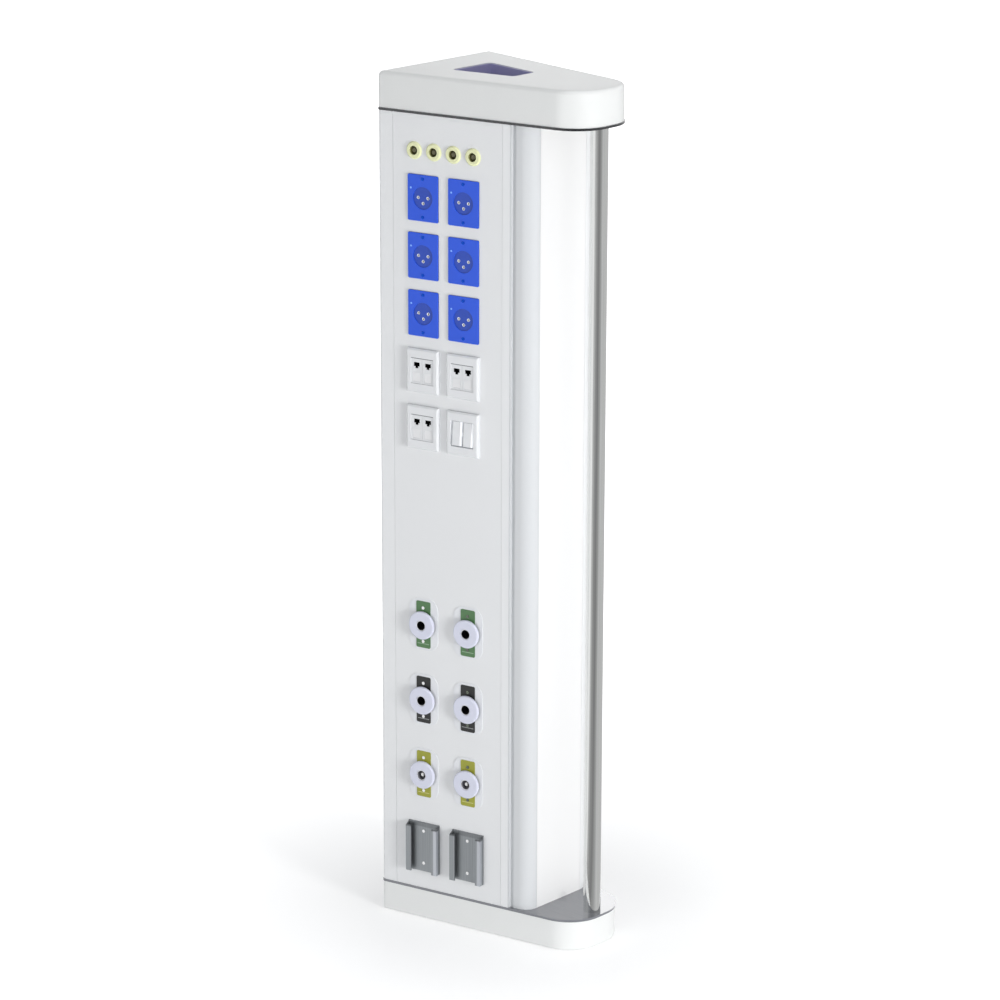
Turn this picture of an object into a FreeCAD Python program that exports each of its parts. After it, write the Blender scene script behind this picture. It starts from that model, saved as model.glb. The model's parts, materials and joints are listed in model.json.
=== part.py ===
"""Medical supply column: a wedge-shaped ward column with sockets, data ports, gas outlets and a hand pole.

The row frame has +Z up, the rounded nose towards -Y, the service side on -X, and its origin under the
middle of the base. Sizes are millimetres and degrees, and all of them stand in the sheet named Sizes.
Pieces of the service side are drawn in the side frame: x runs along the side towards the nose from the
rear corner of the skin, y runs inwards from the outer face of the skin, and z is the row's own height.
"""
import FreeCAD, Part
import math
import os
import re
import Sketcher

Vector = FreeCAD.Vector

SIZES = [
    ("back_width", "280", "end plate, width at the back"),
    ("column_depth", "395", "end plate, back to nose"),
    ("taper", "10.5", "each side leans in by this angle"),
    ("nose_radius", "66", "end plate, corners of the nose"),
    ("rear_radius", "6", "rear corners in plan"),
    ("least_round", "0.5", "smallest rounding of an inner corner"),
    ("plate_thick", "4", "end plates"),
    ("skin_inset", "1.5", "caps and skins stand in from the plates' edge"),
    ("base_cap_height", "53", "base cap"),
    ("body_height", "1377.5", "between the end plates"),
    ("top_cap_height", "61.5", "top cap"),
    ("cap_wall", "3", "moulded wall of both caps"),
    ("cap_edge_radius", "7", "upper edge of the top cap"),
    ("base_edge_radius", "3", "lower edge of the base cap"),
    ("cap_boss_radius", "6", "screw bosses inside the caps"),
    ("cap_boss_bore", "1.8", "pilot holes of the bosses"),
    ("cap_boss_margin", "16", "bosses stand in from the plates' edge"),
    ("cap_boss_setback", "40", "rear bosses, from the back"),
    ("cap_boss_reach", "175", "front bosses, from the rear ones"),
    ("throat_margin", "74", "throat, from the plates' side edges"),
    ("throat_setback", "86", "throat, from the back"),
    ("throat_length", "120", "throat, back to front"),
    ("throat_radius", "8", "corners of the throat"),
    ("throat_wall", "2", "lining of the throat"),
    ("throat_drop", "1.5", "lining ends this far below the cap's top"),
    ("cable_radius", "16", "cable hole in the top plate"),
    ("hanger_radius", "25", "suspension bolts, radius of their circle"),
    ("hanger_bore", "4.5", "suspension bolt holes, radius"),
    ("sheet_thick", "3", "outer skins"),
    ("lap_thick", "2", "tongues behind the skins"),
    ("lap_width", "10", "tongues reach behind the skins"),
    ("skin_gap", "0.4", "seam between neighbouring skins"),
    ("hole_play", "0.2", "around whatever passes through a hole"),
    ("rear_flange", "30", "side and back faces of the rear profiles"),
    ("service_width", "214", "service panel and its blank partner"),
    ("front_flange", "16", "side face of the front profiles"),
    ("groove_width", "7", "shadow groove beside the nose profile"),
    ("groove_depth", "7.5", "shadow groove, depth"),
    ("column_setback", "5.5", "rounded front profile stands in from the side"),
    ("column_radius", "24", "rounding of the front profile"),
    ("wall_depth", "292.5", "recessed front wall, from the back skin's face"),
    ("wall_return", "21", "front profile, flat beside the rounding"),
    ("port_radius", "5", "screw ports of the profiles"),
    ("port_bore", "2.1", "bore of the screw ports"),
    ("divider_thick", "2", "partition between the two halves"),
    ("pole_radius", "15", "hand pole"),
    ("pole_wall", "2", "tube wall of the pole"),
    ("pole_inset", "24", "pole axis, from the nose"),
    ("plug_length", "20", "closed ends of the pole"),
    ("pole_thread", "4", "bolt holes in the pole's ends, radius"),
    ("socket_mid", "130.3", "middle between the socket columns, along the side"),
    ("socket_pitch", "79.7", "between the two socket columns"),
    ("row_drop", "141", "first socket row, below the top plate"),
    ("row_pitch", "99", "between socket rows"),
    ("socket_width", "60", "socket plates"),
    ("socket_height", "79", "socket plates"),
    ("socket_thick", "2.6", "socket plates"),
    ("dish_radius", "19", "round dish of a socket"),
    ("dish_depth", "1.4", "round dish of a socket"),
    ("contact_spread", "19", "between the two upper contacts"),
    ("contact_rise", "0.5", "upper contacts, above the plate's middle"),
    ("earth_drop", "9", "earth contact, below the plate's middle"),
    ("contact_radius", "2.7", "contact sleeves, outside"),
    ("contact_bore", "2", "contact sleeves, inside"),
    ("contact_length", "19", "contact sleeves"),
    ("insert_width", "44", "contact block behind a socket plate"),
    ("insert_height", "50", "contact block behind a socket plate"),
    ("insert_depth", "16", "contact block behind a socket plate"),
    ("lamp_radius", "1.7", "mains lamp of a socket"),
    ("lamp_shift", "23.4", "mains lamp, towards the back from the middle"),
    ("lamp_rise", "16.2", "mains lamp, above the middle"),
    ("lamp_stand", "0.6", "mains lamp stands out"),
    ("screw_margin", "7", "plate screws, from the plate's ends"),
    ("box_width", "54", "wall boxes"),
    ("box_height", "70", "wall boxes"),
    ("box_depth", "45", "wall boxes"),
    ("box_wall", "2", "wall boxes"),
    ("lug_width", "8", "screw lugs in the wall boxes"),
    ("lug_depth", "14", "screw lugs in the wall boxes"),
    ("frame_width", "63", "data and switch frames"),
    ("frame_height", "76", "data and switch frames"),
    ("frame_thick", "7", "data and switch frames"),
    ("frame_bevel", "2.5", "bevelled rim of the frames"),
    ("window_side", "45", "square window of the frames"),
    ("module_gap", "0.15", "around the jack modules"),
    ("module_front", "5.5", "face of the jack modules, out from the panel"),
    ("module_plate", "3", "front plate of the jack modules"),
    ("jack_width", "16", "jack housings"),
    ("jack_height", "15", "jack housings"),
    ("jack_depth", "18", "jack housings, from the module's face"),
    ("port_rise", "11", "jack ports, above the frame's middle"),
    ("port_width", "11.8", "jack ports"),
    ("port_height", "7", "jack ports"),
    ("port_depth", "15", "jack ports"),
    ("latch_width", "6", "latch notch of the ports"),
    ("latch_drop", "3.4", "latch notch of the ports"),
    ("label_width", "15", "label fields of the modules"),
    ("label_height", "16", "label fields of the modules"),
    ("label_depth", "0.8", "label fields of the modules"),
    ("rocker_height", "41", "switch rockers"),
    ("rocker_rise", "6.8", "rocker face, out from the panel at its middle"),
    ("rocker_back", "3", "rocker back, in from its face"),
    ("rocker_tilt", "5", "resting tilt of a rocker"),
    ("rocker_bevel", "2.7", "bevelled long edges of a rocker"),
    ("pivot_out", "1", "rocker pivots, out from the panel"),
    ("pivot_radius", "1.5", "rocker trunnions"),
    ("pivot_fit", "0.05", "play of the trunnions"),
    ("hub_wall", "0.5", "rocker hub, past the trunnions"),
    ("cheek_thick", "1.2", "bearing cheeks between the rockers"),
    ("cheek_half", "4", "bearing cheeks, half their height"),
    ("web_depth", "4", "web behind the rockers, in from the panel"),
    ("web_thick", "2", "web behind the rockers"),
    ("run_gap", "0.3", "between pieces that slide or swing past each other"),
    ("bonding_drop", "61.5", "bonding sockets, below the top plate"),
    ("bonding_pitch", "38.4", "between bonding sockets"),
    ("bonding_rim", "15", "flange of a bonding socket, radius"),
    ("bonding_stand", "3", "flange of a bonding socket, thickness"),
    ("bonding_bevel", "2.4", "bevel of the flange"),
    ("bonding_mouth", "7.6", "mouth of a bonding socket, radius"),
    ("bonding_barrel", "10.4", "barrel of a bonding socket, radius"),
    ("bonding_depth", "22", "barrel of a bonding socket, depth"),
    ("bonding_floor", "4", "floor of a bonding socket"),
    ("bonding_pin", "3.9", "bonding pin, radius"),
    ("bonding_tail", "12", "bonding pin, behind the barrel"),
    ("outlet_mid", "133.6", "middle between the outlet columns, along the side"),
    ("outlet_pitch", "90.2", "between the two outlet columns"),
    ("outlet_rise", "488.2", "first outlet row, above the base plate"),
    ("outlet_step", "137", "between outlet rows"),
    ("flange_width", "58", "outlet flange"),
    ("flange_height", "93", "outlet flange"),
    ("flange_radius", "20", "corners of the outlet flange"),
    ("flange_thick", "1", "outlet flange"),
    ("strip_width", "28.5", "coloured gas strip"),
    ("strip_height", "84", "coloured gas strip"),
    ("strip_radius", "3", "corners of the gas strip"),
    ("strip_thick", "0.8", "coloured gas strip"),
    ("strip_screw", "30.3", "gas strip screws, from its middle"),
    ("bore_radius", "8", "probe bore of an outlet"),
    ("bore_end", "0.5", "probe bore ends this far out from the panel"),
    ("seat_radius", "6.6", "narrower bore behind the probe bore"),
    ("tube_radius", "9.3", "socket tube, outside"),
    ("cup_radius", "11.6", "ring space for the collar's skirt, outside"),
    ("cup_depth", "12", "ring space, depth"),
    ("barrel_radius", "14.5", "outlet barrel"),
    ("barrel_depth", "30", "outlet barrel"),
    ("tube_stand", "9.5", "socket tube stands out from the panel"),
    ("collar_radius", "25", "release collar"),
    ("collar_face", "10.5", "collar's face, out from the panel"),
    ("collar_thick", "3", "collar's disc"),
    ("collar_lip", "2.2", "rim behind the disc"),
    ("collar_round", "2.5", "rounded edge of the collar"),
    ("collar_travel", "3", "stroke of the collar"),
    ("poppet_radius", "5", "poppet head"),
    ("poppet_round", "4", "domed edge of the poppet head"),
    ("poppet_deep", "7", "poppet head of the upper rows, in from the panel"),
    ("poppet_near", "7", "poppet head of the lowest row, out from the panel"),
    ("poppet_travel", "4", "stroke of the poppet"),
    ("stem_radius", "3", "poppet stem"),
    ("stem_length", "12", "poppet stem inside the valve block"),
    ("block_length", "24", "valve block"),
    ("pipe_radius", "6", "pipe stub"),
    ("pipe_length", "18", "pipe stub"),
    ("pipe_wall", "1", "pipe stub"),
    ("bracket_rise", "78", "slide brackets, middle above the base plate"),
    ("bracket_width", "63", "slide brackets"),
    ("bracket_height", "91", "slide brackets"),
    ("bracket_depth", "12", "slide brackets"),
    ("bracket_wall", "2.5", "slide brackets"),
    ("bracket_lip", "10.5", "lips of the brackets, from their outer edge"),
    ("bracket_lead", "7", "lips start below the bracket's top"),
    ("bracket_step", "0.5", "side walls left in front of the back, at the bracket's top"),
    ("cut_over", "1", "cuts run this far past what they open"),
    ("bracket_screws", "60", "between the bracket's screws"),
    ("screw_radius", "1.5", "panel screws, shank"),
    ("head_radius", "2.8", "panel screws, head"),
    ("head_height", "0.9", "panel screws, head"),
    ("screw_length", "11", "panel screws, shank behind what they hold"),
    ("slot_width", "0.9", "slot of the panel screws"),
    ("slot_depth", "0.5", "slot of the panel screws"),
    ("port_head", "4", "heads of the screws into ports and bosses, radius"),
    ("pole_head", "6.5", "heads of the pole's bolts, radius"),
    ("bolt_head_height", "5", "heads of all frame screws"),
    ("bolt_reach", "16", "frame screws, shank behind the plate"),
]

doc = FreeCAD.newDocument("supply_column")
sheet = doc.addObject("Spreadsheet::Sheet", "Sizes")
for line, (alias, value, meaning) in enumerate(SIZES, start=1):
    sheet.set("A%d" % line, alias)
    sheet.set("B%d" % line, value)
    sheet.setAlias("B%d" % line, alias)
    sheet.set("C%d" % line, meaning)
doc.recompute()

ALIASES = re.compile(r"\b(%s)\b" % "|".join(alias for alias, value, meaning in SIZES))

# Places that several pieces share, worked out from the sheet.
BODY_LOW = "(base_cap_height + plate_thick)"
BODY_HIGH = "(base_cap_height + plate_thick + body_height)"
CORNER_X = "(back_width / 2 - skin_inset * (tan(taper) + 1 / cos(taper)))"
CORNER_Y = "(column_depth / 2 - skin_inset)"
SOCKET_ROWS = 3
DATA_ROWS = 2
OUTLET_ROWS = 3
COLUMN_SIDES = (-1, 1)


def bound(text):
    """The expression with each alias written as a cell of the sheet."""
    return ALIASES.sub(r"Sizes.\1", text)


def size(text):
    """The value that an expression has now."""
    return float(sheet.evalExpression(bound(text)))


def tie(thing, path, text):
    """Binds one property of an object to the sheet."""
    thing.setExpression(path, bound(text))


def new_body(label):
    body = doc.addObject("PartDesign::Body", label)
    body.Label = label
    body.AllowCompound = True
    return body


def put_at(body, x, y, z):
    """Places a body by three expressions."""
    tie(body, "Placement.Base.x", x)
    tie(body, "Placement.Base.y", y)
    tie(body, "Placement.Base.z", z)


def put_on_side(body, along="0", height="0"):
    """Places a body in the side frame, moved along the side and up."""
    turn = FreeCAD.Rotation(Vector(0, 0, 1), 270 + size("taper"))
    body.Placement = FreeCAD.Placement(Vector(0, 0, 0), turn)
    tie(body, "Placement.Rotation.Angle", "270 + taper")
    put_at(
        body,
        "-%s + (%s) * sin(taper)" % (CORNER_X, along),
        "%s - (%s) * cos(taper)" % (CORNER_Y, along),
        height,
    )


def new_sketch(body, plane, lift="0"):
    """A sketch on one of the body's own origin planes, lifted along that plane's normal."""
    sketch = body.newObject("Sketcher::SketchObject", body.Label + "_sketch")
    support = [f for f in body.Origin.OriginFeatures if f.Role == plane][0]
    sketch.AttachmentSupport = (support, [""])
    sketch.MapMode = "FlatFace"
    if lift != "0":
        tie(sketch, "AttachmentOffset.Base.z", lift)
    return sketch


def tie_point(sketch, element, point, x, y):
    """Holds one point of a sketch at two expressions, measured from the sketch's origin."""
    for kind, text, axis in (("DistanceX", x, -2), ("DistanceY", y, -1)):
        value = size(text)
        if abs(value) < 1e-9:
            sketch.addConstraint(Sketcher.Constraint("PointOnObject", element, point, axis))
            continue
        number = sketch.addConstraint(Sketcher.Constraint(kind, -1, 1, element, point, value))
        tie(sketch, "Constraints[%d]" % number, text)


def add_loop(sketch, points):
    """A closed run of straight lines through points that are pairs of expressions."""
    first = sketch.GeometryCount
    spots = [Vector(size(x), size(y), 0) for x, y in points]
    count = len(spots)
    for i in range(count):
        sketch.addGeometry(Part.LineSegment(spots[i], spots[(i + 1) % count]))
    for i in range(count):
        joint = Sketcher.Constraint("Coincident", first + i, 2, first + (i + 1) % count, 1)
        sketch.addConstraint(joint)
    for i, (x, y) in enumerate(points):
        tie_point(sketch, first + i, 1, x, y)


def add_circle(sketch, x, y, radius):
    circle = Part.Circle(Vector(size(x), size(y), 0), Vector(0, 0, 1), size(radius))
    element = sketch.addGeometry(circle)
    tie_point(sketch, element, 3, x, y)
    number = sketch.addConstraint(Sketcher.Constraint("Radius", element, size(radius)))
    tie(sketch, "Constraints[%d]" % number, radius)


def box_loop(x, y, width, height):
    """The four corners of a rectangle about a middle point."""
    left = "(%s) - (%s) / 2" % (x, width)
    right = "(%s) + (%s) / 2" % (x, width)
    low = "(%s) - (%s) / 2" % (y, height)
    high = "(%s) + (%s) / 2" % (y, height)
    return [(left, low), (right, low), (right, high), (left, high)]


def span_loop(left, right, low, high):
    return [(left, low), (right, low), (right, high), (left, high)]


def extrude(body, sketch, length, inward=False):
    """A pad along the sketch's normal, or against it."""
    pad = body.newObject("PartDesign::Pad", body.Label + "_pad")
    pad.Profile = sketch
    tie(pad, "Length", length)
    pad.Reversed = inward
    doc.recompute()
    return pad


def cut(body, sketch, length, inward=False):
    """A pocket along the sketch's normal, or against it, which has to take something away."""
    before = body.Shape.Volume
    pocket = body.newObject("PartDesign::Pocket", body.Label + "_pocket")
    pocket.Profile = sketch
    tie(pocket, "Length", length)
    pocket.Reversed = not inward
    doc.recompute()
    if body.Shape.Volume > before - 1e-3:
        raise ValueError("a pocket of %s cuts nothing" % body.Label)
    return pocket


def revolve(body, sketch):
    """A full turn about the sketch's upright axis."""
    turned = body.newObject("PartDesign::Revolution", body.Label + "_revolution")
    turned.Profile = sketch
    turned.ReferenceAxis = (sketch, ["V_Axis"])
    turned.Angle = 360
    doc.recompute()
    return turned


def dress(body, kind, radius, chosen):
    """A fillet or chamfer on the edges of the body's tip that a test picks."""
    tip = body.Tip
    names = ["Edge%d" % n for n, edge in enumerate(tip.Shape.Edges, start=1) if chosen(edge)]
    if not names:
        raise ValueError("no edge to dress on %s" % body.Label)
    dressed = body.newObject("PartDesign::" + kind, body.Label + "_" + kind.lower())
    dressed.Base = (tip, names)
    path = "Radius" if kind == "Fillet" else "Size"
    tie(dressed, path, radius)
    doc.recompute()
    return dressed


def straight_along(edge, axis):
    """True for a straight edge that runs along x, y or z of its body."""
    if edge.Curve.TypeId != "Part::GeomLine":
        return False
    ends = [v.Point for v in edge.Vertexes]
    run = ends[1] - ends[0]
    return abs(getattr(run, axis)) > 0.999 * run.Length


def flat_at(edge, axis, place):
    """True for an edge that lies wholly in the plane where x, y or z has one value."""
    low = getattr(edge.BoundBox, axis.upper() + "Min")
    high = getattr(edge.BoundBox, axis.upper() + "Max")
    return abs(low - place) < 1e-3 and abs(high - place) < 1e-3


def add_wedge(sketch, back, rear, front, nose, rear_round, nose_round):
    """A wedge in plan from the half widths and places of its two ends, each corner rounded off."""
    first = sketch.GeometryCount
    rear_run = "(%s / tan(45 - taper / 2))" % rear_round
    nose_run = "(%s * tan(45 - taper / 2))" % nose_round
    half = [
        ("(%s - %s)" % (back, rear_run), rear),
        ("(%s - %s * sin(taper))" % (back, rear_run), "(%s - %s * cos(taper))" % (rear, rear_run)),
        ("(%s + %s * sin(taper))" % (front, nose_run), "(%s + %s * cos(taper))" % (nose, nose_run)),
        ("(%s - %s)" % (front, nose_run), nose),
    ]
    points = [("-" + x, y) for x, y in half] + half[::-1]
    rounds = (rear_round, None, nose_round, None, nose_round, None, rear_round, None)
    spots = [Vector(size(x), size(y), 0) for x, y in points]
    for i, rounding in enumerate(rounds):
        start = spots[i]
        end = spots[(i + 1) % 8]
        if rounding is None:
            sketch.addGeometry(Part.LineSegment(start, end))
            continue
        radius = size(rounding)
        chord = end - start
        lift = math.sqrt(radius ** 2 - chord.Length ** 2 / 4)
        middle = (start + end) / 2 + Vector(-chord.y, chord.x, 0).normalize() * lift
        low = math.atan2(start.y - middle.y, start.x - middle.x)
        high = math.atan2(end.y - middle.y, end.x - middle.x)
        if high < low:
            high += 2 * math.pi
        circle = Part.Circle(middle, Vector(0, 0, 1), radius)
        sketch.addGeometry(Part.ArcOfCircle(circle, low, high))
    for i, rounding in enumerate(rounds):
        joint = Sketcher.Constraint("Coincident", first + i, 2, first + (i + 1) % 8, 1)
        sketch.addConstraint(joint)
        tie_point(sketch, first + i, 1, *points[i])
        if rounding is not None:
            number = sketch.addConstraint(Sketcher.Constraint("Radius", first + i, size(rounding)))
            tie(sketch, "Constraints[%d]" % number, rounding)


def add_outline(sketch, inset):
    """The column's own outline in plan, set in by an expression."""
    back = "(back_width / 2 - (%s) * (tan(taper) + 1 / cos(taper)))" % inset
    front_run = "(column_depth - (%s))" % inset
    front = "(back_width / 2 - %s * tan(taper) - (%s) / cos(taper))" % (front_run, inset)
    rear = "(column_depth / 2 - (%s))" % inset
    nose_limit = "0.98 * %s / tan(45 - taper / 2)" % front
    nose_round = "min(nose_radius - (%s); %s)" % (inset, nose_limit)
    rear_round = "max(rear_radius - (%s); least_round)" % inset
    add_wedge(sketch, back, rear, front, "(-%s)" % rear, rear_round, nose_round)


def wedge_solid(body, inset, height, lift="0"):
    """The outline carried upwards: the form of both plates and both caps."""
    sketch = new_sketch(body, "XY_Plane", lift)
    add_outline(sketch, inset)
    extrude(body, sketch, height)


def wedge_hollow(body, inset, height, lift, inward=False):
    """The same form taken out of a cap, upwards or downwards from the plane it is drawn on."""
    sketch = new_sketch(body, "XY_Plane", lift)
    add_outline(sketch, inset)
    cut(body, sketch, height, inward)


def boss_places():
    """The four screw bosses of a cap, rear pair first, as pairs of expressions."""
    places = []
    for run in ("cap_boss_setback", "(cap_boss_setback + cap_boss_reach)"):
        half = "(back_width / 2 - %s * tan(taper) - cap_boss_margin / cos(taper))" % run
        for side in COLUMN_SIDES:
            places.append(("%d * %s" % (side, half), "column_depth / 2 - %s" % run))
    return places


def port_places():
    """Screw ports of the four corner profiles in plan, as pairs of expressions for each side."""
    depth = "(sheet_thick + lap_thick + port_radius - 1)"
    rear_run = "(%s * (1 + sin(taper)) / cos(taper))" % depth
    rear_x = "(%s - %s * sin(taper) - %s * cos(taper))" % (CORNER_X, rear_run, depth)
    rear_y = "(%s - %s)" % (CORNER_Y, depth)
    front_run = "(rear_flange + service_width + 2 * skin_gap + front_flange / 2)"
    front_x = "(%s - %s * sin(taper) - %s * cos(taper))" % (CORNER_X, front_run, depth)
    front_y = "(%s - %s * cos(taper) + %s * sin(taper))" % (CORNER_Y, front_run, depth)
    return [(rear_x, rear_y), (front_x, front_y)]


def plate_holes(sketch):
    """Holes of an end plate: into the profiles' screw ports, into the cap's bosses and into the pole."""
    for x, y in port_places():
        for side in COLUMN_SIDES:
            add_circle(sketch, "%d * %s" % (side, x), y, "port_bore + hole_play")
    for x, y in boss_places():
        add_circle(sketch, x, y, "cap_boss_bore + hole_play")
    add_circle(sketch, "0", "pole_inset - column_depth / 2", "pole_thread + hole_play")


def add_throat(sketch, inset):
    """The wedge-shaped throat in plan, set in by an expression."""
    margin = "(throat_margin + (%s))" % inset
    ends = []
    for run in ("(throat_setback + (%s))" % inset, "(throat_setback + throat_length - (%s))" % inset):
        half = "(back_width / 2 - %s * tan(taper) - %s / cos(taper))" % (run, margin)
        ends += [half, "(column_depth / 2 - %s)" % run]
    rounding = "max(throat_radius - (%s); least_round)" % inset
    add_wedge(sketch, *ends, rounding, rounding)


def build_base_cap():
    """Moulded tray that closes the foot, with four bosses for the screws from the plate above."""
    body = new_body("base_cap")
    wedge_solid(body, "skin_inset", "base_cap_height")
    wall = "skin_inset + cap_wall"
    wedge_hollow(body, wall, "base_cap_height - cap_wall", "base_cap_height", inward=True)
    dress(body, "Fillet", "base_edge_radius", lambda e: flat_at(e, "z", 0))
    bosses = new_sketch(body, "XY_Plane", "cap_wall / 2")
    for x, y in boss_places():
        add_circle(bosses, x, y, "cap_boss_radius")
    extrude(body, bosses, "base_cap_height - cap_wall / 2")
    pilots = new_sketch(body, "XY_Plane", "base_cap_height")
    for x, y in boss_places():
        add_circle(pilots, x, y, "cap_boss_bore")
    cut(body, pilots, "base_cap_height / 2", inward=True)
    return body


def build_base_plate():
    body = new_body("base_plate")
    wedge_solid(body, "0", "plate_thick", "base_cap_height")
    holes = new_sketch(body, "XY_Plane", "base_cap_height")
    plate_holes(holes)
    cut(body, holes, "plate_thick")
    return body


def build_top_plate():
    """Upper end plate, drilled for the suspension inside the throat."""
    body = new_body("top_plate")
    wedge_solid(body, "0", "plate_thick", BODY_HIGH)
    holes = new_sketch(body, "XY_Plane", BODY_HIGH)
    plate_holes(holes)
    hanger_y = "column_depth / 2 - throat_setback - throat_length / 2"
    add_circle(holes, "0", hanger_y, "cable_radius")
    reach = "hanger_radius * cos(45)"
    for side in COLUMN_SIDES:
        for end in COLUMN_SIDES:
            add_circle(holes, "%d * %s" % (side, reach), "%s + %d * %s" % (hanger_y, end, reach), "hanger_bore")
    cut(body, holes, "plate_thick")
    return body


def build_top_cap():
    """Moulded hood with softly rounded upper edges and the wedge-shaped throat."""
    body = new_body("top_cap")
    low = "%s + plate_thick" % BODY_HIGH
    wedge_solid(body, "skin_inset", "top_cap_height", low)
    top = size(low) + size("top_cap_height")
    dress(body, "Fillet", "cap_edge_radius", lambda e: flat_at(e, "z", top))
    wedge_hollow(body, "skin_inset + cap_wall", "top_cap_height - cap_wall", low)
    ceiling = top - size("cap_wall")
    inner_radius = "max(cap_edge_radius - cap_wall; least_round)"
    dress(body, "Fillet", inner_radius, lambda e: flat_at(e, "z", ceiling))
    bosses = new_sketch(body, "XY_Plane", low)
    for x, y in boss_places():
        add_circle(bosses, x, y, "cap_boss_radius")
    extrude(body, bosses, "top_cap_height - cap_wall / 2")
    pilots = new_sketch(body, "XY_Plane", low)
    for x, y in boss_places():
        add_circle(pilots, x, y, "cap_boss_bore")
    cut(body, pilots, "top_cap_height / 2")
    mouth = new_sketch(body, "XY_Plane", low)
    add_throat(mouth, "0")
    cut(body, mouth, "top_cap_height + cap_wall")
    return body


def build_cap_throat():
    """Lining that drops from the cap's mouth to the top plate and hides the hollow of the cap."""
    body = new_body("cap_throat")
    low = "%s + plate_thick" % BODY_HIGH
    height = "top_cap_height - throat_drop"
    ring = new_sketch(body, "XY_Plane", low)
    add_throat(ring, "skin_gap")
    extrude(body, ring, height)
    hollow = new_sketch(body, "XY_Plane", low)
    add_throat(hollow, "(skin_gap + throat_wall)")
    cut(body, hollow, height)
    return body


def build_rear_corner():
    """Rear corner profile: a side face, a back face, tongues behind both skins and a screw port."""
    body = new_body("rear_corner_left")
    put_on_side(body)
    deep = "(sheet_thick + lap_thick)"
    reach = "(rear_flange + lap_width)"

    def on_back(run, depth):
        """A point at a run along the back face and a depth inside it."""
        x = "%s * sin(taper) + %s * cos(taper)" % (run, depth)
        y = "%s * cos(taper) - %s * sin(taper)" % (run, depth)
        return (x, y)

    plan = [
        ("0", "0"),
        ("rear_flange", "0"),
        ("rear_flange", "sheet_thick"),
        (reach, "sheet_thick"),
        (reach, deep),
        ("%s * (1 + sin(taper)) / cos(taper)" % deep, deep),
        on_back(reach, deep),
        on_back(reach, "sheet_thick"),
        on_back("rear_flange", "sheet_thick"),
        on_back("rear_flange", "0"),
    ]
    sketch = new_sketch(body, "XY_Plane", BODY_LOW)
    add_loop(sketch, plan)
    extrude(body, sketch, "body_height")
    middle = "(%s + port_radius - 1)" % deep
    port = new_sketch(body, "XY_Plane", BODY_LOW)
    add_circle(port, "%s * (1 + sin(taper)) / cos(taper)" % middle, middle, "port_radius")
    extrude(body, port, "body_height")
    bore = new_sketch(body, "XY_Plane", BODY_LOW)
    add_circle(bore, "%s * (1 + sin(taper)) / cos(taper)" % middle, middle, "port_bore")
    cut(body, bore, "body_height")
    dress(
        body,
        "Fillet",
        "max(rear_radius - skin_inset; least_round)",
        lambda e: straight_along(e, "z") and e.BoundBox.Center.sub(Vector(0, 0, e.BoundBox.Center.z)).Length < 0.5,
    )
    return body


def build_front_corner():
    """Front profile: side face, shadow groove, rounded column and the tongue behind the front wall."""
    body = new_body("front_corner_left")
    put_on_side(body)
    start = "(rear_flange + service_width + 2 * skin_gap)"
    edge = "(%s + front_flange)" % start
    deep = "(sheet_thick + lap_thick)"
    inner = "(groove_depth + lap_thick)"
    corner_run = "((wall_depth + column_setback * sin(taper)) / cos(taper))"
    inner_set = "(column_setback + %s)" % deep
    inner_run = "((wall_depth - %s + %s * sin(taper)) / cos(taper))" % (deep, inner_set)

    def on_wall(run, depth):
        """A point at a run along the front wall from the profile's corner, and a depth behind its face."""
        x = "%s + %s * sin(taper) - %s * cos(taper)" % (corner_run, run, depth)
        y = "column_setback + %s * cos(taper) + %s * sin(taper)" % (run, depth)
        return (x, y)

    plan = [
        (start, "0"),
        (edge, "0"),
        (edge, "groove_depth"),
        ("%s + groove_width" % edge, "groove_depth"),
        ("%s + groove_width" % edge, "column_setback"),
        (corner_run, "column_setback"),
        on_wall("wall_return", "0"),
        on_wall("wall_return", "sheet_thick"),
        on_wall("(wall_return + lap_width)", "sheet_thick"),
        on_wall("(wall_return + lap_width)", deep),
        (inner_run, inner_set),
        ("%s - %s" % (edge, deep), inner_set),
        ("%s - %s" % (edge, deep), deep),
        ("%s - lap_width" % start, deep),
        ("%s - lap_width" % start, "sheet_thick"),
        (start, "sheet_thick"),
    ]
    sketch = new_sketch(body, "XY_Plane", BODY_LOW)
    add_loop(sketch, plan)
    extrude(body, sketch, "body_height")
    outer = Vector(size(corner_run), size("column_setback"), 0)
    hidden = Vector(size(inner_run), size(inner_set), 0)

    def near(edge_shape, spot):
        middle = edge_shape.BoundBox.Center
        return straight_along(edge_shape, "z") and Vector(middle.x, middle.y, 0).sub(spot).Length < 0.5

    dress(body, "Fillet", "column_radius", lambda e: near(e, outer))
    dress(body, "Fillet", "column_radius - %s" % deep, lambda e: near(e, hidden))
    middle = "(%s + port_radius - 1)" % deep
    port_run = "(%s + front_flange / 2)" % start
    port = new_sketch(body, "XY_Plane", BODY_LOW)
    add_circle(port, port_run, middle, "port_radius")
    extrude(body, port, "body_height")
    bore = new_sketch(body, "XY_Plane", BODY_LOW)
    add_circle(bore, port_run, middle, "port_bore")
    cut(body, bore, "body_height")
    return body


def build_mirror(label, source):
    """The right-hand partner of a left-hand piece."""
    mirror = doc.addObject("Part::Mirroring", label)
    mirror.Label = label
    mirror.Source = source
    mirror.Normal = Vector(1, 0, 0)
    doc.recompute()
    return mirror


def build_rear_panel():
    """Flat back skin between the two rear profiles."""
    body = new_body("rear_panel")
    sketch = new_sketch(body, "XY_Plane", BODY_LOW)
    half = "(%s - rear_flange - skin_gap)" % CORNER_X
    add_loop(sketch, span_loop("-" + half, half, "%s - sheet_thick" % CORNER_Y, CORNER_Y))
    extrude(body, sketch, "body_height")
    return body


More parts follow.
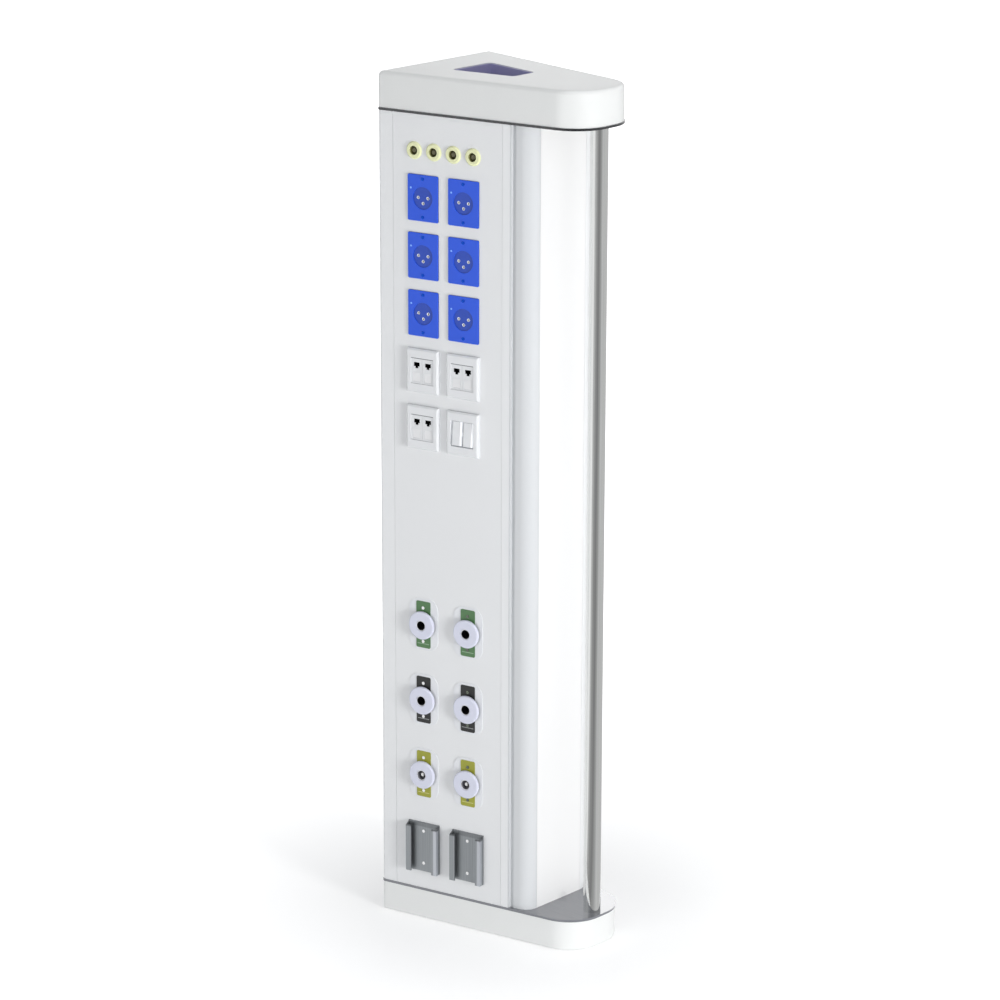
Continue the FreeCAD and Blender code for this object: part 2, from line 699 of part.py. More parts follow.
def front_wall_half():
    """Half the width of the recessed front wall."""
    corner_run = "((wall_depth + column_setback * sin(taper)) / cos(taper))"
    corner_x = "(%s - %s * sin(taper) - column_setback * cos(taper))" % (CORNER_X, corner_run)
    return "(%s - wall_return - skin_gap)" % corner_x


def build_front_wall():
    """Flat wall at the back of the recess, between the two rounded profiles."""
    body = new_body("front_wall")
    sketch = new_sketch(body, "XY_Plane", BODY_LOW)
    half = front_wall_half()
    face = "(%s - wall_depth)" % CORNER_Y
    add_loop(sketch, span_loop("-" + half, half, face, face + " + sheet_thick"))
    extrude(body, sketch, "body_height")
    return body


def build_divider():
    """Partition from the back skin to the front wall, which keeps gas lines apart from cables."""
    body = new_body("divider")
    sketch = new_sketch(body, "XY_Plane", BODY_LOW)
    low = "%s - wall_depth + sheet_thick" % CORNER_Y
    high = "%s - sheet_thick" % CORNER_Y
    add_loop(sketch, span_loop("-divider_thick / 2", "divider_thick / 2", low, high))
    extrude(body, sketch, "body_height")
    return body


def build_hand_pole():
    """Polished tube in front of the recess, with closed ends that take a bolt from each plate."""
    body = new_body("hand_pole")
    put_at(body, "0", "pole_inset - column_depth / 2", BODY_LOW)
    sketch = new_sketch(body, "XZ_Plane")
    hollow = "pole_radius - pole_wall"
    plan = [
        ("pole_thread", "0"),
        ("pole_radius", "0"),
        ("pole_radius", "body_height"),
        ("pole_thread", "body_height"),
        ("pole_thread", "body_height - plug_length"),
        (hollow, "body_height - plug_length"),
        (hollow, "plug_length"),
        ("pole_thread", "plug_length"),
    ]
    add_loop(sketch, plan)
    revolve(body, sketch)
    return body


def panel_start():
    """Where the service panel begins, along the side."""
    return "(rear_flange + skin_gap)"


def column_run(side):
    return "(socket_mid + %d * socket_pitch / 2)" % side


def row_height(row):
    return "(%s - row_drop - %d * row_pitch)" % (BODY_HIGH, row)


def outlet_run(side):
    return "(outlet_mid + %d * outlet_pitch / 2)" % side


def outlet_height(row):
    return "(%s + outlet_rise - %d * outlet_step)" % (BODY_LOW, row)


def socket_places():
    return [(column_run(side), row_height(row)) for row in range(SOCKET_ROWS) for side in COLUMN_SIDES]


def data_places():
    rows = range(SOCKET_ROWS, SOCKET_ROWS + DATA_ROWS)
    return [(column_run(side), row_height(row)) for row in rows for side in COLUMN_SIDES]


def outlet_places():
    return [(outlet_run(side), outlet_height(row)) for row in range(OUTLET_ROWS) for side in COLUMN_SIDES]


def bonding_places():
    height = "(%s - bonding_drop)" % BODY_HIGH
    return [("(socket_mid + %g * bonding_pitch)" % step, height) for step in (-1.5, -0.5, 0.5, 1.5)]


def bracket_places():
    return [(outlet_run(side), "(%s + bracket_rise)" % BODY_LOW) for side in COLUMN_SIDES]


def panel_screws():
    """Every panel screw: its run, its height and how far out its head sits."""
    screws = []
    for run, height in socket_places():
        for end in COLUMN_SIDES:
            spot = "%s + %d * (socket_height / 2 - screw_margin)" % (height, end)
            screws.append((run, spot, "socket_thick"))
    for run, height in outlet_places():
        for end in COLUMN_SIDES:
            screws.append((run, "%s + %d * strip_screw" % (height, end), "(flange_thick + strip_thick)"))
    for run, height in bracket_places():
        for end in COLUMN_SIDES:
            screws.append((run, "%s + %d * bracket_screws / 2" % (height, end), "bracket_wall"))
    return screws


def build_service_panel():
    """Side skin with cut-outs for the boxes, the bonding sockets and the outlet barrels."""
    body = new_body("service_panel")
    put_on_side(body)
    sketch = new_sketch(body, "XZ_Plane")
    end = "(%s + service_width)" % panel_start()
    add_loop(sketch, span_loop(panel_start(), end, BODY_LOW, BODY_HIGH))
    extrude(body, sketch, "sheet_thick", inward=True)
    holes = new_sketch(body, "XZ_Plane")
    for run, height in socket_places() + data_places():
        add_loop(holes, box_loop(run, height, "(box_width + 2 * hole_play)", "(box_height + 2 * hole_play)"))
    for run, height in bonding_places():
        add_circle(holes, run, height, "bonding_barrel + hole_play")
    for run, height in outlet_places():
        add_circle(holes, run, height, "barrel_radius + hole_play")
    for run, height, seat in panel_screws():
        if seat != "socket_thick":
            add_circle(holes, run, height, "screw_radius + hole_play")
    cut(body, holes, "sheet_thick", inward=True)
    return body


def build_blank_panel():
    """Side skin of the other side, with nothing fitted."""
    body = new_body("blank_panel_source")
    put_on_side(body)
    sketch = new_sketch(body, "XZ_Plane")
    end = "(%s + service_width)" % panel_start()
    add_loop(sketch, span_loop(panel_start(), end, BODY_LOW, BODY_HIGH))
    extrude(body, sketch, "sheet_thick", inward=True)
    return build_mirror("blank_panel", body)


def build_wall_boxes():
    """Ten boxes behind the plates, each with two screw lugs, their rims flush with the panel's face."""
    body = new_body("wall_boxes")
    put_on_side(body)
    places = socket_places() + data_places()
    outer = new_sketch(body, "XZ_Plane")
    for run, height in places:
        add_loop(outer, box_loop(run, height, "box_width", "box_height"))
    extrude(body, outer, "box_depth", inward=True)
    inner = new_sketch(body, "XZ_Plane")
    for run, height in places:
        hollow = box_loop(run, height, "(box_width - 2 * box_wall)", "(box_height - 2 * box_wall)")
        add_loop(inner, hollow)
    cut(body, inner, "box_depth - box_wall", inward=True)
    lugs = new_sketch(body, "XZ_Plane")
    for run, height in places:
        for end in COLUMN_SIDES:
            middle = "%s + %d * (socket_height / 2 - screw_margin)" % (height, end)
            rim = "%s + %d * box_height / 2" % (height, end)
            inner_end = "%s - %d * lug_width / 2" % (middle, end)
            ends = (inner_end, rim) if end > 0 else (rim, inner_end)
            loop = span_loop("%s - lug_width / 2" % run, "%s + lug_width / 2" % run, *ends)
            add_loop(lugs, loop)
    extrude(body, lugs, "lug_depth", inward=True)
    holes = new_sketch(body, "XZ_Plane")
    for run, height in places:
        for end in COLUMN_SIDES:
            middle = "%s + %d * (socket_height / 2 - screw_margin)" % (height, end)
            add_circle(holes, run, middle, "screw_radius + hole_play")
    cut(body, holes, "lug_depth", inward=True)
    return body


def contact_spots(run, height):
    """The three contacts of one socket, as pairs of expressions."""
    spots = [
        ("%s + %d * contact_spread / 2" % (run, side), "%s + contact_rise" % height)
        for side in COLUMN_SIDES
    ]
    spots.append((run, "%s - earth_drop" % height))
    return spots


def build_socket_plate(number, run, height):
    """Mains socket: front plate with a round dish, and the moulded block that holds its contacts."""
    body = new_body("socket_plate_%d" % number)
    put_on_side(body, run, height)
    plate = new_sketch(body, "XZ_Plane")
    add_loop(plate, box_loop("0", "0", "socket_width", "socket_height"))
    extrude(body, plate, "socket_thick")
    dress(body, "Fillet", "socket_thick", lambda e: straight_along(e, "y"))
    front = -size("socket_thick")
    dress(body, "Fillet", "socket_thick / 3", lambda e: flat_at(e, "y", front))
    block = new_sketch(body, "XZ_Plane")
    add_loop(block, box_loop("0", "0", "insert_width", "insert_height"))
    extrude(body, block, "insert_depth", inward=True)
    dish = new_sketch(body, "XZ_Plane", "socket_thick - dish_depth")
    add_circle(dish, "0", "0", "dish_radius")
    cut(body, dish, "dish_depth * 2")
    holes = new_sketch(body, "XZ_Plane", "socket_thick")
    for x, z in contact_spots("0", "0"):
        add_circle(holes, x, z, "contact_radius")
    cut(body, holes, "socket_thick + insert_depth", inward=True)
    small = new_sketch(body, "XZ_Plane", "socket_thick")
    add_circle(small, "-lamp_shift", "lamp_rise", "lamp_radius")
    for end in COLUMN_SIDES:
        add_circle(small, "0", "%d * (socket_height / 2 - screw_margin)" % end, "screw_radius + hole_play")
    cut(body, small, "socket_thick", inward=True)
    return body


def build_socket_lamps():
    """Small domed lamps, one in each socket plate."""
    body = new_body("socket_lamps")
    put_on_side(body)
    sketch = new_sketch(body, "XZ_Plane")
    for run, height in socket_places():
        add_circle(sketch, "%s - lamp_shift" % run, "%s + lamp_rise" % height, "lamp_radius")
    extrude(body, sketch, "socket_thick + lamp_stand")
    front = -size("socket_thick + lamp_stand")
    dress(body, "Fillet", "lamp_stand", lambda e: flat_at(e, "y", front))
    return body


def build_contact_pins():
    """Metal contacts: the sleeves of the mains sockets and the pins of the bonding sockets."""
    body = new_body("contact_pins")
    put_on_side(body)
    face = "(socket_thick - dish_depth)"
    sleeves = new_sketch(body, "XZ_Plane", face)
    for run, height in socket_places():
        for x, z in contact_spots(run, height):
            add_circle(sleeves, x, z, "contact_radius")
            add_circle(sleeves, x, z, "contact_bore")
    extrude(body, sleeves, "contact_length", inward=True)
    pins = new_sketch(body, "XZ_Plane")
    for run, height in bonding_places():
        add_circle(pins, run, height, "bonding_pin")
    extrude(body, pins, "bonding_depth + bonding_tail", inward=True)
    return body


def build_bonding_sockets():
    """Four round bonding sockets: a bevelled flange, a barrel through the panel and a floor for the pin."""
    body = new_body("bonding_sockets")
    put_on_side(body)
    flange = new_sketch(body, "XZ_Plane")
    barrel = new_sketch(body, "XZ_Plane")
    floor = new_sketch(body, "XZ_Plane", "bonding_floor - bonding_depth")
    for run, height in bonding_places():
        add_circle(flange, run, height, "bonding_rim")
        add_circle(flange, run, height, "bonding_mouth")
        add_circle(barrel, run, height, "bonding_barrel")
        add_circle(barrel, run, height, "bonding_mouth")
        add_circle(floor, run, height, "bonding_barrel - 1")
        add_circle(floor, run, height, "bonding_pin")
    extrude(body, flange, "bonding_stand")
    front = -size("bonding_stand")
    outer = size("bonding_rim")

    def rim(edge):
        return flat_at(edge, "y", front) and abs(edge.BoundBox.XLength / 2 - outer) < 0.1

    dress(body, "Chamfer", "bonding_bevel", rim)
    extrude(body, barrel, "bonding_depth", inward=True)
    extrude(body, floor, "bonding_floor", inward=True)
    return body


def frame_front(body):
    """The bevelled front of a data or switch frame with its square window."""
    plate = new_sketch(body, "XZ_Plane")
    add_loop(plate, box_loop("0", "0", "frame_width", "frame_height"))
    extrude(body, plate, "frame_thick")
    front = -size("frame_thick")
    dress(body, "Chamfer", "frame_bevel", lambda e: flat_at(e, "y", front))
    window = new_sketch(body, "XZ_Plane")
    add_loop(window, box_loop("0", "0", "window_side", "window_side"))
    cut(body, window, "frame_thick")


def build_data_frame(number, run, height):
    body = new_body("data_frame_%d" % number)
    put_on_side(body, run, height)
    frame_front(body)
    return body


def build_jack_modules(number, run, height):
    """Two jack modules of one frame: front plates, housings, ports with their latch notch, label fields."""
    body = new_body("jack_modules_%d" % number)
    put_on_side(body, run, height)
    plates = new_sketch(body, "XZ_Plane", "module_front")
    houses = new_sketch(body, "XZ_Plane", "module_front")
    ports = new_sketch(body, "XZ_Plane", "module_front")
    labels = new_sketch(body, "XZ_Plane", "module_front")
    port_high = "port_rise + port_height / 2"
    port_low = "port_rise - port_height / 2"
    for side in COLUMN_SIDES:
        mid = "%d * window_side / 4" % side
        wide = "(window_side / 2 - 2 * module_gap)"
        add_loop(plates, box_loop(mid, "0", wide, "(window_side - 2 * module_gap)"))
        add_loop(houses, box_loop(mid, "port_rise", "jack_width", "jack_height"))
        left = "%s - port_width / 2" % mid
        right = "%s + port_width / 2" % mid
        notch_left = "%s - latch_width / 2" % mid
        notch_right = "%s + latch_width / 2" % mid
        notch_low = port_low + " - latch_drop"
        shape = [
            (left, port_high),
            (left, port_low),
            (notch_left, port_low),
            (notch_left, notch_low),
            (notch_right, notch_low),
            (notch_right, port_low),
            (right, port_low),
            (right, port_high),
        ]
        add_loop(ports, shape)
        add_loop(labels, box_loop(mid, "-window_side / 4", "label_width", "label_height"))
    extrude(body, plates, "module_plate", inward=True)
    extrude(body, houses, "jack_depth", inward=True)
    cut(body, ports, "port_depth", inward=True)
    cut(body, labels, "label_depth", inward=True)
    return body


def rocker_width():
    """Width of one rocker between the cheeks."""
    return "((window_side - 3 * cheek_thick) / 2 - 2 * run_gap)"


def rocker_run(side):
    """Middle of a rocker from the frame's middle."""
    return "(%d * (window_side - cheek_thick) / 4)" % side


def build_switch_frame(run, height):
    """Switch frame: bevelled front, a web across the window and three cheeks that carry the rockers."""
    body = new_body("switch_frame")
    put_on_side(body, run, height)
    frame_front(body)
    web = new_sketch(body, "XZ_Plane", "-web_depth")
    add_loop(web, box_loop("0", "0", "(window_side + 2)", "(window_side + 2)"))
    extrude(body, web, "web_thick", inward=True)
    rim = new_sketch(body, "XZ_Plane")
    add_loop(rim, box_loop("0", "0", "(window_side + 2)", "(window_side + 2)"))
    add_loop(rim, box_loop("0", "0", "window_side", "window_side"))
    extrude(body, rim, "web_depth", inward=True)
    cheeks = new_sketch(body, "XZ_Plane", "-web_depth")
    for middle in ("cheek_thick / 2 - window_side / 2", "0", "window_side / 2 - cheek_thick / 2"):
        add_loop(cheeks, box_loop(middle, "0", "cheek_thick", "2 * cheek_half"))
    extrude(body, cheeks, "web_depth + pivot_out + 2 * pivot_radius")
    bores = new_sketch(body, "YZ_Plane", "-window_side / 2")
    add_circle(bores, "-pivot_out", "0", "pivot_radius + pivot_fit")
    cut(body, bores, "window_side")
    return body


def build_rocker(number, side, run, height):
    """Switch rocker: a bevelled paddle, its lower end out at rest, with a trunnion at each end."""
    body = new_body("rocker_%d" % number)
    put_on_side(body, "%s + %s" % (run, rocker_run(side)), height)
    half = "(%s / 2)" % rocker_width()

    def swung(out, along):
        """A point of the side view, turned about the pivot by the resting tilt."""
        out_from = "(%s - pivot_out)" % out
        y = "-(pivot_out + %s * cos(rocker_tilt) - %s * sin(rocker_tilt))" % (out_from, along)
        z = "(%s * cos(rocker_tilt) + %s * sin(rocker_tilt))" % (along, out_from)
        return (y, z)

    low = "(-rocker_height / 2)"
    high = "(rocker_height / 2)"
    back = "(rocker_rise - rocker_back)"
    hub = "(pivot_out - pivot_radius - hub_wall)"
    plan = [
        swung("rocker_rise", low),
        swung("rocker_rise", high),
        swung(back, high),
        swung(back, "(pivot_radius * 2)"),
        swung(hub, "(pivot_radius * 1.5)"),
        swung(hub, "(-pivot_radius * 1.5)"),
        swung(back, "(-pivot_radius * 2)"),
        swung(back, low),
    ]
    paddle = new_sketch(body, "YZ_Plane", "-" + half)
    add_loop(paddle, plan)
    extrude(body, paddle, rocker_width())
    limit = size("-(%s) * cos(rocker_tilt)" % back) - 1
    side_x = size(half)

    def long_edge(edge):
        middle = edge.BoundBox.Center
        long_one = edge.BoundBox.ZLength > size("rocker_height") * 0.9
        return long_one and middle.y < limit and abs(abs(middle.x) - side_x) < 1e-3

    dress(body, "Chamfer", "rocker_bevel", long_edge)
    reach = "(%s + run_gap + cheek_thick / 2 - 2 * pivot_fit)" % half
    pins = new_sketch(body, "YZ_Plane", "-" + reach)
    add_circle(pins, "-pivot_out", "0", "pivot_radius")
    extrude(body, pins, "2 * " + reach)
    return body


def rounded_plate(body, width, height, radius, lift, thick):
    """A plate on the panel with rounded corners in its own plane."""
    sketch = new_sketch(body, "XZ_Plane", lift)
    add_loop(sketch, box_loop("0", "0", width, height))
    extrude(body, sketch, thick)
    dress(body, "Fillet", radius, lambda e: straight_along(e, "y"))


def build_outlet_base(number, run, height):
    """Gas outlet base: flange, barrel through the panel and the socket tube in its ring space."""
    body = new_body("outlet_base_%d" % number)
    put_on_side(body, run, height)
    rounded_plate(body, "flange_width", "flange_height", "flange_radius", "0", "flange_thick")
    screw_holes = new_sketch(body, "XZ_Plane")
    for end in COLUMN_SIDES:
        add_circle(screw_holes, "0", "%d * strip_screw" % end, "screw_radius + hole_play")
    cut(body, screw_holes, "flange_thick")
    core = new_sketch(body, "XZ_Plane")
    add_circle(core, "0", "0", "cup_radius")
    cut(body, core, "flange_thick")
    turned = new_sketch(body, "XY_Plane")
    plan = [
        ("bore_radius", "-tube_stand"),
        ("tube_radius", "-tube_stand"),
        ("tube_radius", "cup_depth"),
        ("cup_radius", "cup_depth"),
        ("cup_radius", "0"),
        ("barrel_radius", "0"),
        ("barrel_radius", "barrel_depth"),
        ("seat_radius", "barrel_depth"),
        ("seat_radius", "-bore_end"),
        ("bore_radius", "-bore_end"),
    ]
    add_loop(turned, plan)
    revolve(body, turned)
    return body


def build_outlet_collar(number, run, height):
    """Release collar: a disc with a rounded rim and a skirt that slides round the socket tube."""
    body = new_body("outlet_collar_%d" % number)
    put_on_side(body, run, height)
    sketch = new_sketch(body, "XY_Plane")
    back = "-(collar_face - collar_thick)"
    skirt_in = "tube_radius + run_gap"
    skirt_out = "cup_radius - run_gap"
    skirt_end = "cup_depth - collar_travel - 2 * run_gap"
    lip_in = "collar_radius - collar_lip"
    plan = [
        (skirt_in, "-collar_face"),
        ("collar_radius", "-collar_face"),
        ("collar_radius", back + " + collar_lip"),
        (lip_in, back + " + collar_lip"),
        (lip_in, back),
        (skirt_out, back),
        (skirt_out, skirt_end),
        (skirt_in, skirt_end),
    ]
    add_loop(sketch, plan)
    revolve(body, sketch)
    front = -size("collar_face")
    wide = size("collar_radius")

    def rim(edge):
        return flat_at(edge, "y", front) and edge.BoundBox.XLength > 1.9 * wide

    dress(body, "Fillet", "collar_round", rim)
    return body


def build_poppet(number, run, height, head):
    """Check valve poppet: a domed head in the probe bore and a stem that slides in the valve block."""
    body = new_body("outlet_poppet_%d" % number)
    put_on_side(body, run, height)
    sketch = new_sketch(body, "XY_Plane")
    stem_end = "barrel_depth + stem_length"
    plan = [
        ("0", head),
        ("poppet_radius", head),
        ("poppet_radius", "%s + 2 * poppet_radius" % head),
        ("stem_radius", "%s + 2 * poppet_radius" % head),
        ("stem_radius", stem_end),
        ("0", stem_end),
    ]
    add_loop(sketch, plan)
    revolve(body, sketch)
    face = size(head)
    dress(body, "Fillet", "poppet_round", lambda e: flat_at(e, "y", face) and e.BoundBox.XLength > 1)
    return body


def build_valve_blocks():
    """Brass valve blocks behind the barrels, each with a pipe stub for the supply line."""
    body = new_body("valve_blocks")
    put_on_side(body)
    blocks = new_sketch(body, "XZ_Plane", "-barrel_depth")
    pipes = new_sketch(body, "XZ_Plane", "-(barrel_depth + block_length)")
    bores = new_sketch(body, "XZ_Plane", "-barrel_depth")
    for run, height in outlet_places():
        add_circle(blocks, run, height, "barrel_radius")
        add_circle(pipes, run, height, "pipe_radius")
        add_circle(bores, run, height, "stem_radius + run_gap")
    extrude(body, blocks, "block_length", inward=True)
    extrude(body, pipes, "pipe_length", inward=True)
    cut(body, bores, "stem_length + poppet_travel + cut_over", inward=True)
    hollow = new_sketch(body, "XZ_Plane", "-(barrel_depth + block_length + pipe_length)")
    for run, height in outlet_places():
        add_circle(hollow, run, height, "pipe_radius - pipe_wall")
    cut(body, hollow, "pipe_length")
    return body


def build_gas_strip(label, row):
    """Two coloured strips that name one kind of gas, on the flanges of one row."""
    body = new_body(label)
    put_on_side(body, "0", outlet_height(row))
    sketch = new_sketch(body, "XZ_Plane", "flange_thick")
    for side in COLUMN_SIDES:
        add_loop(sketch, box_loop(outlet_run(side), "0", "strip_width", "strip_height"))
    extrude(body, sketch, "strip_thick")
    dress(body, "Fillet", "strip_radius", lambda e: straight_along(e, "y"))
    holes = new_sketch(body, "XZ_Plane", "flange_thick")
    for side in COLUMN_SIDES:
        add_circle(holes, outlet_run(side), "0", "cup_radius + run_gap")
        for end in COLUMN_SIDES:
            add_circle(holes, outlet_run(side), "%d * strip_screw" % end, "screw_radius + hole_play")
    cut(body, holes, "strip_thick")
    return body


def build_slide_bracket(number, run, height):
    """Slide bracket: a channel with inturned lips, cut back at the top as a lead-in."""
    body = new_body("slide_bracket_%d" % number)
    put_on_side(body, run, height)
    sketch = new_sketch(body, "XY_Plane", "-bracket_height / 2")
    half = "(bracket_width / 2)"
    wall = "(%s - bracket_wall)" % half
    lip = "(%s - bracket_lip)" % half
    front = "(-bracket_depth)"
    under = "(bracket_wall - bracket_depth)"
    plan = [
        ("-" + half, "0"),
        (half, "0"),
        (half, front),
        (lip, front),
        (lip, under),
        (wall, under),
        (wall, "-bracket_wall"),
        ("-" + wall, "-bracket_wall"),
        ("-" + wall, under),
        ("-" + lip, under),
        ("-" + lip, front),
        ("-" + half, front),
    ]
    add_loop(sketch, plan)
    extrude(body, sketch, "bracket_height")
    lead = new_sketch(body, "YZ_Plane", "-bracket_width / 2")
    lead_top = "bracket_height / 2"
    lead_low = "bracket_height / 2 - bracket_lead"
    step = "-bracket_wall - bracket_step"
    shape = [
        (step, lead_top + " + cut_over"),
        (front + " - cut_over", lead_top + " + cut_over"),
        (front + " - cut_over", lead_low),
        (front, lead_low),
        (step, lead_top + " - bracket_lead / 3"),
    ]
    add_loop(lead, shape)
    cut(body, lead, "bracket_width")
    holes = new_sketch(body, "XZ_Plane")
    for end in COLUMN_SIDES:
        add_circle(holes, "0", "%d * bracket_screws / 2" % end, "screw_radius + hole_play")
    cut(body, holes, "bracket_wall")
    return body


def build_panel_screws():
    """Slotted pan-head screws of the socket plates, the gas strips and the brackets."""
    body = new_body("panel_screws")
    put_on_side(body)
    screws = panel_screws()
    for seat in sorted(set(screw[2] for screw in screws)):
        group = [screw for screw in screws if screw[2] == seat]
        heads = new_sketch(body, "XZ_Plane", seat)
        shanks = new_sketch(body, "XZ_Plane", seat)
        slots = new_sketch(body, "XZ_Plane", "%s + head_height - slot_depth" % seat)
        for run, height, out in group:
            add_circle(heads, run, height, "head_radius")
            add_circle(shanks, run, height, "screw_radius")
            add_loop(slots, box_loop(run, height, "2.2 * head_radius", "slot_width"))
        extrude(body, heads, "head_height")
        reach = "sheet_thick" if seat != "socket_thick" else "screw_length"
        extrude(body, shanks, "%s + %s" % (seat, reach), inward=True)
        cut(body, slots, "slot_depth * 2")
    return body


def build_frame_screws():
    """Screws of both end plates: into the profiles' screw ports, the pole's ends and the caps' bosses."""
    body = new_body("frame_screws")
    pole_y = "pole_inset - column_depth / 2"
    ports = [("%d * %s" % (side, x), y) for x, y in port_places() for side in COLUMN_SIDES]
    top_face = "(%s + plate_thick)" % BODY_HIGH
    for head_low, seat, inward in (
        ("base_cap_height - bolt_head_height", "base_cap_height", False),
        (top_face, top_face, True),
    ):
        heads = new_sketch(body, "XY_Plane", head_low)
        shanks = new_sketch(body, "XY_Plane", seat)
        for x, y in ports:
            add_circle(heads, x, y, "port_head")
            add_circle(shanks, x, y, "port_bore")
        add_circle(heads, "0", pole_y, "pole_head")
        add_circle(shanks, "0", pole_y, "pole_thread")
        extrude(body, heads, "bolt_head_height")
        extrude(body, shanks, "plate_thick + bolt_reach", inward)
    for head_low, seat, inward in (
        (BODY_LOW, BODY_LOW, True),
        (BODY_HIGH + " - bolt_head_height", BODY_HIGH, False),
    ):
        heads = new_sketch(body, "XY_Plane", head_low)
        shanks = new_sketch(body, "XY_Plane", seat)
        for x, y in boss_places():
            add_circle(heads, x, y, "port_head")
            add_circle(shanks, x, y, "cap_boss_bore")
        extrude(body, heads, "bolt_head_height")
        extrude(body, shanks, "plate_thick + bolt_reach", inward)
    return body


nodes = [
    build_base_cap(),
    build_base_plate(),
    build_top_plate(),
    build_top_cap(),
    build_cap_throat(),
    build_rear_panel(),
    build_front_wall(),
    build_divider(),
    build_hand_pole(),
    build_service_panel(),
    build_blank_panel(),
    build_wall_boxes(),
    build_bonding_sockets(),
    build_contact_pins(),
    build_socket_lamps(),
    build_valve_blocks(),
    build_panel_screws(),
    build_frame_screws(),
]
rear_left = build_rear_corner()
front_left = build_front_corner()
nodes += [rear_left, build_mirror("rear_corner_right", rear_left)]
nodes += [front_left, build_mirror("front_corner_right", front_left)]
for number, (run, height) in enumerate(socket_places(), start=1):
    nodes.append(build_socket_plate(number, run, height))
*data_spots, switch_spot = data_places()
for number, (run, height) in enumerate(data_spots, start=1):
    nodes.append(build_data_frame(number, run, height))
    nodes.append(build_jack_modules(number, run, height))
nodes.append(build_switch_frame(*switch_spot))
for number, side in enumerate(COLUMN_SIDES, start=1):
    nodes.append(build_rocker(number, side, *switch_spot))
for number, (run, height) in enumerate(outlet_places(), start=1):
    in_last_row = number > 2 * (OUTLET_ROWS - 1)
    nodes.append(build_outlet_base(number, run, height))
    nodes.append(build_outlet_collar(number, run, height))
    nodes.append(build_poppet(number, run, height, "-poppet_near" if in_last_row else "poppet_deep"))
for row, label in enumerate(("gas_strip_green", "gas_strip_black", "gas_strip_yellow")):
    nodes.append(build_gas_strip(label, row))
for number, (run, height) in enumerate(bracket_places(), start=1):
    nodes.append(build_slide_bracket(number, run, height))

doc.recompute()
for thing in doc.Objects:
    if "Invalid" in thing.State or "Error" in thing.State:
        raise ValueError("%s did not build" % thing.Label)
for node in nodes:
    if node.Shape.isNull() or not node.Shape.isValid():
        raise ValueError("%s has no valid shape" % node.Label)

os.makedirs("parts", exist_ok=True)
for node in nodes:
    node.Shape.exportStep("parts/%s.step" % node.Label)
print(len(nodes), "nodes written")
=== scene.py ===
"""Medical supply column: the finish of each surface, the small parts, the light, the floor, the camera."""
import json
import math
import bpy
from mathutils import Matrix, Vector


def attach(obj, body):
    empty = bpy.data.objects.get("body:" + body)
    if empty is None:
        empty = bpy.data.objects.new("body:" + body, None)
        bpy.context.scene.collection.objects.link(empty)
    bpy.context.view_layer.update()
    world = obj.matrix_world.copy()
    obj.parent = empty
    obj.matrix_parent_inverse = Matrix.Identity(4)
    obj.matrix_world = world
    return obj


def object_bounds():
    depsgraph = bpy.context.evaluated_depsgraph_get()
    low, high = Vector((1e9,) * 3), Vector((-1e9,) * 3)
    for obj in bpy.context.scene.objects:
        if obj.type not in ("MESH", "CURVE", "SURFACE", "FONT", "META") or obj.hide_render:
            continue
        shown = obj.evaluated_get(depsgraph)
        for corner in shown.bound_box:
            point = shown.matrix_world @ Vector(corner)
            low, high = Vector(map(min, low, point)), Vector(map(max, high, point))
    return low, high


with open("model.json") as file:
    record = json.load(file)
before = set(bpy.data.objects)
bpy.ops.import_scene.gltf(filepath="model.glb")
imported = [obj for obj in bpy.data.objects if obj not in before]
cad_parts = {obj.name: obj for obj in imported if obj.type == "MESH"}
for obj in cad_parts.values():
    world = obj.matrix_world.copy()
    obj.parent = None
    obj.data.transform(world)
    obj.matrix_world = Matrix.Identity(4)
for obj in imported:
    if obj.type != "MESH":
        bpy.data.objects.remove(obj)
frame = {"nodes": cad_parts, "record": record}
NODES = frame["nodes"]
CAD_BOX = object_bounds()
scene = bpy.context.scene
scene.view_settings.view_transform = "Standard"

# Camera: it stands in front of the column on the left and looks down through a long lens, so that the
# service side and the rounded nose show in nearly their true proportions.
EYE = Vector((-4.6379, -4.1342, 2.5905))
LOOK = Vector((0.7129, 0.6421, -0.2821)).normalized()
ROLL = math.radians(0.15)
LENS_MM = 136.2
SENSOR_MM = 36
FAR_END = 50

camera_data = bpy.data.cameras.new("camera")
camera_data.lens = LENS_MM
camera_data.sensor_width = SENSOR_MM
camera_data.clip_end = FAR_END
camera = bpy.data.objects.new("camera", camera_data)
scene.collection.objects.link(camera)
turn = LOOK.to_track_quat("-Z", "Y").to_matrix().to_4x4() @ Matrix.Rotation(ROLL, 4, "Z")
camera.matrix_world = Matrix.Translation(EYE) @ turn
scene.camera = camera


# Base cap and top cap: moulded hoods with softly rounded edges, sprayed in a warm satin lacquer and screwed
# from inside to the end plates. The base's lacquer is painted a shade lighter, as painted light. The coat has
# a fine orange peel.
CAP_LACQUER = (0.735, 0.745, 0.738, 1)
BASE_LACQUER_PAINTED_LIGHT = (0.775, 0.785, 0.778, 1)
CAP_GLOSS = 0.34
PEEL_SIZE = 0.0016
CLOUD_SIZE = 0.24
GLOSS_PATCH = 0.05
GLOSS_SWING = (0.94, 1.06)
COAT_GLOSS = 0.12
SOFT_RANGE = (0.15, 0.85)


def put(tree, kind, inputs=None, **settings):
    """Adds one shader node; an input takes a value or another node's output."""
    node = tree.nodes.new(kind)
    for option, choice in settings.items():
        setattr(node, option, choice)
    for name, value in (inputs or {}).items():
        if isinstance(value, bpy.types.NodeSocket):
            tree.links.new(value, node.inputs[name])
        else:
            node.inputs[name].default_value = value
    return node


def new_material(name):
    """A node material with only its output, and the tree to build in."""
    material = bpy.data.materials.new(name)
    material.use_nodes = True
    material.node_tree.nodes.clear()
    output = material.node_tree.nodes.new("ShaderNodeOutputMaterial")
    return material, material.node_tree, output


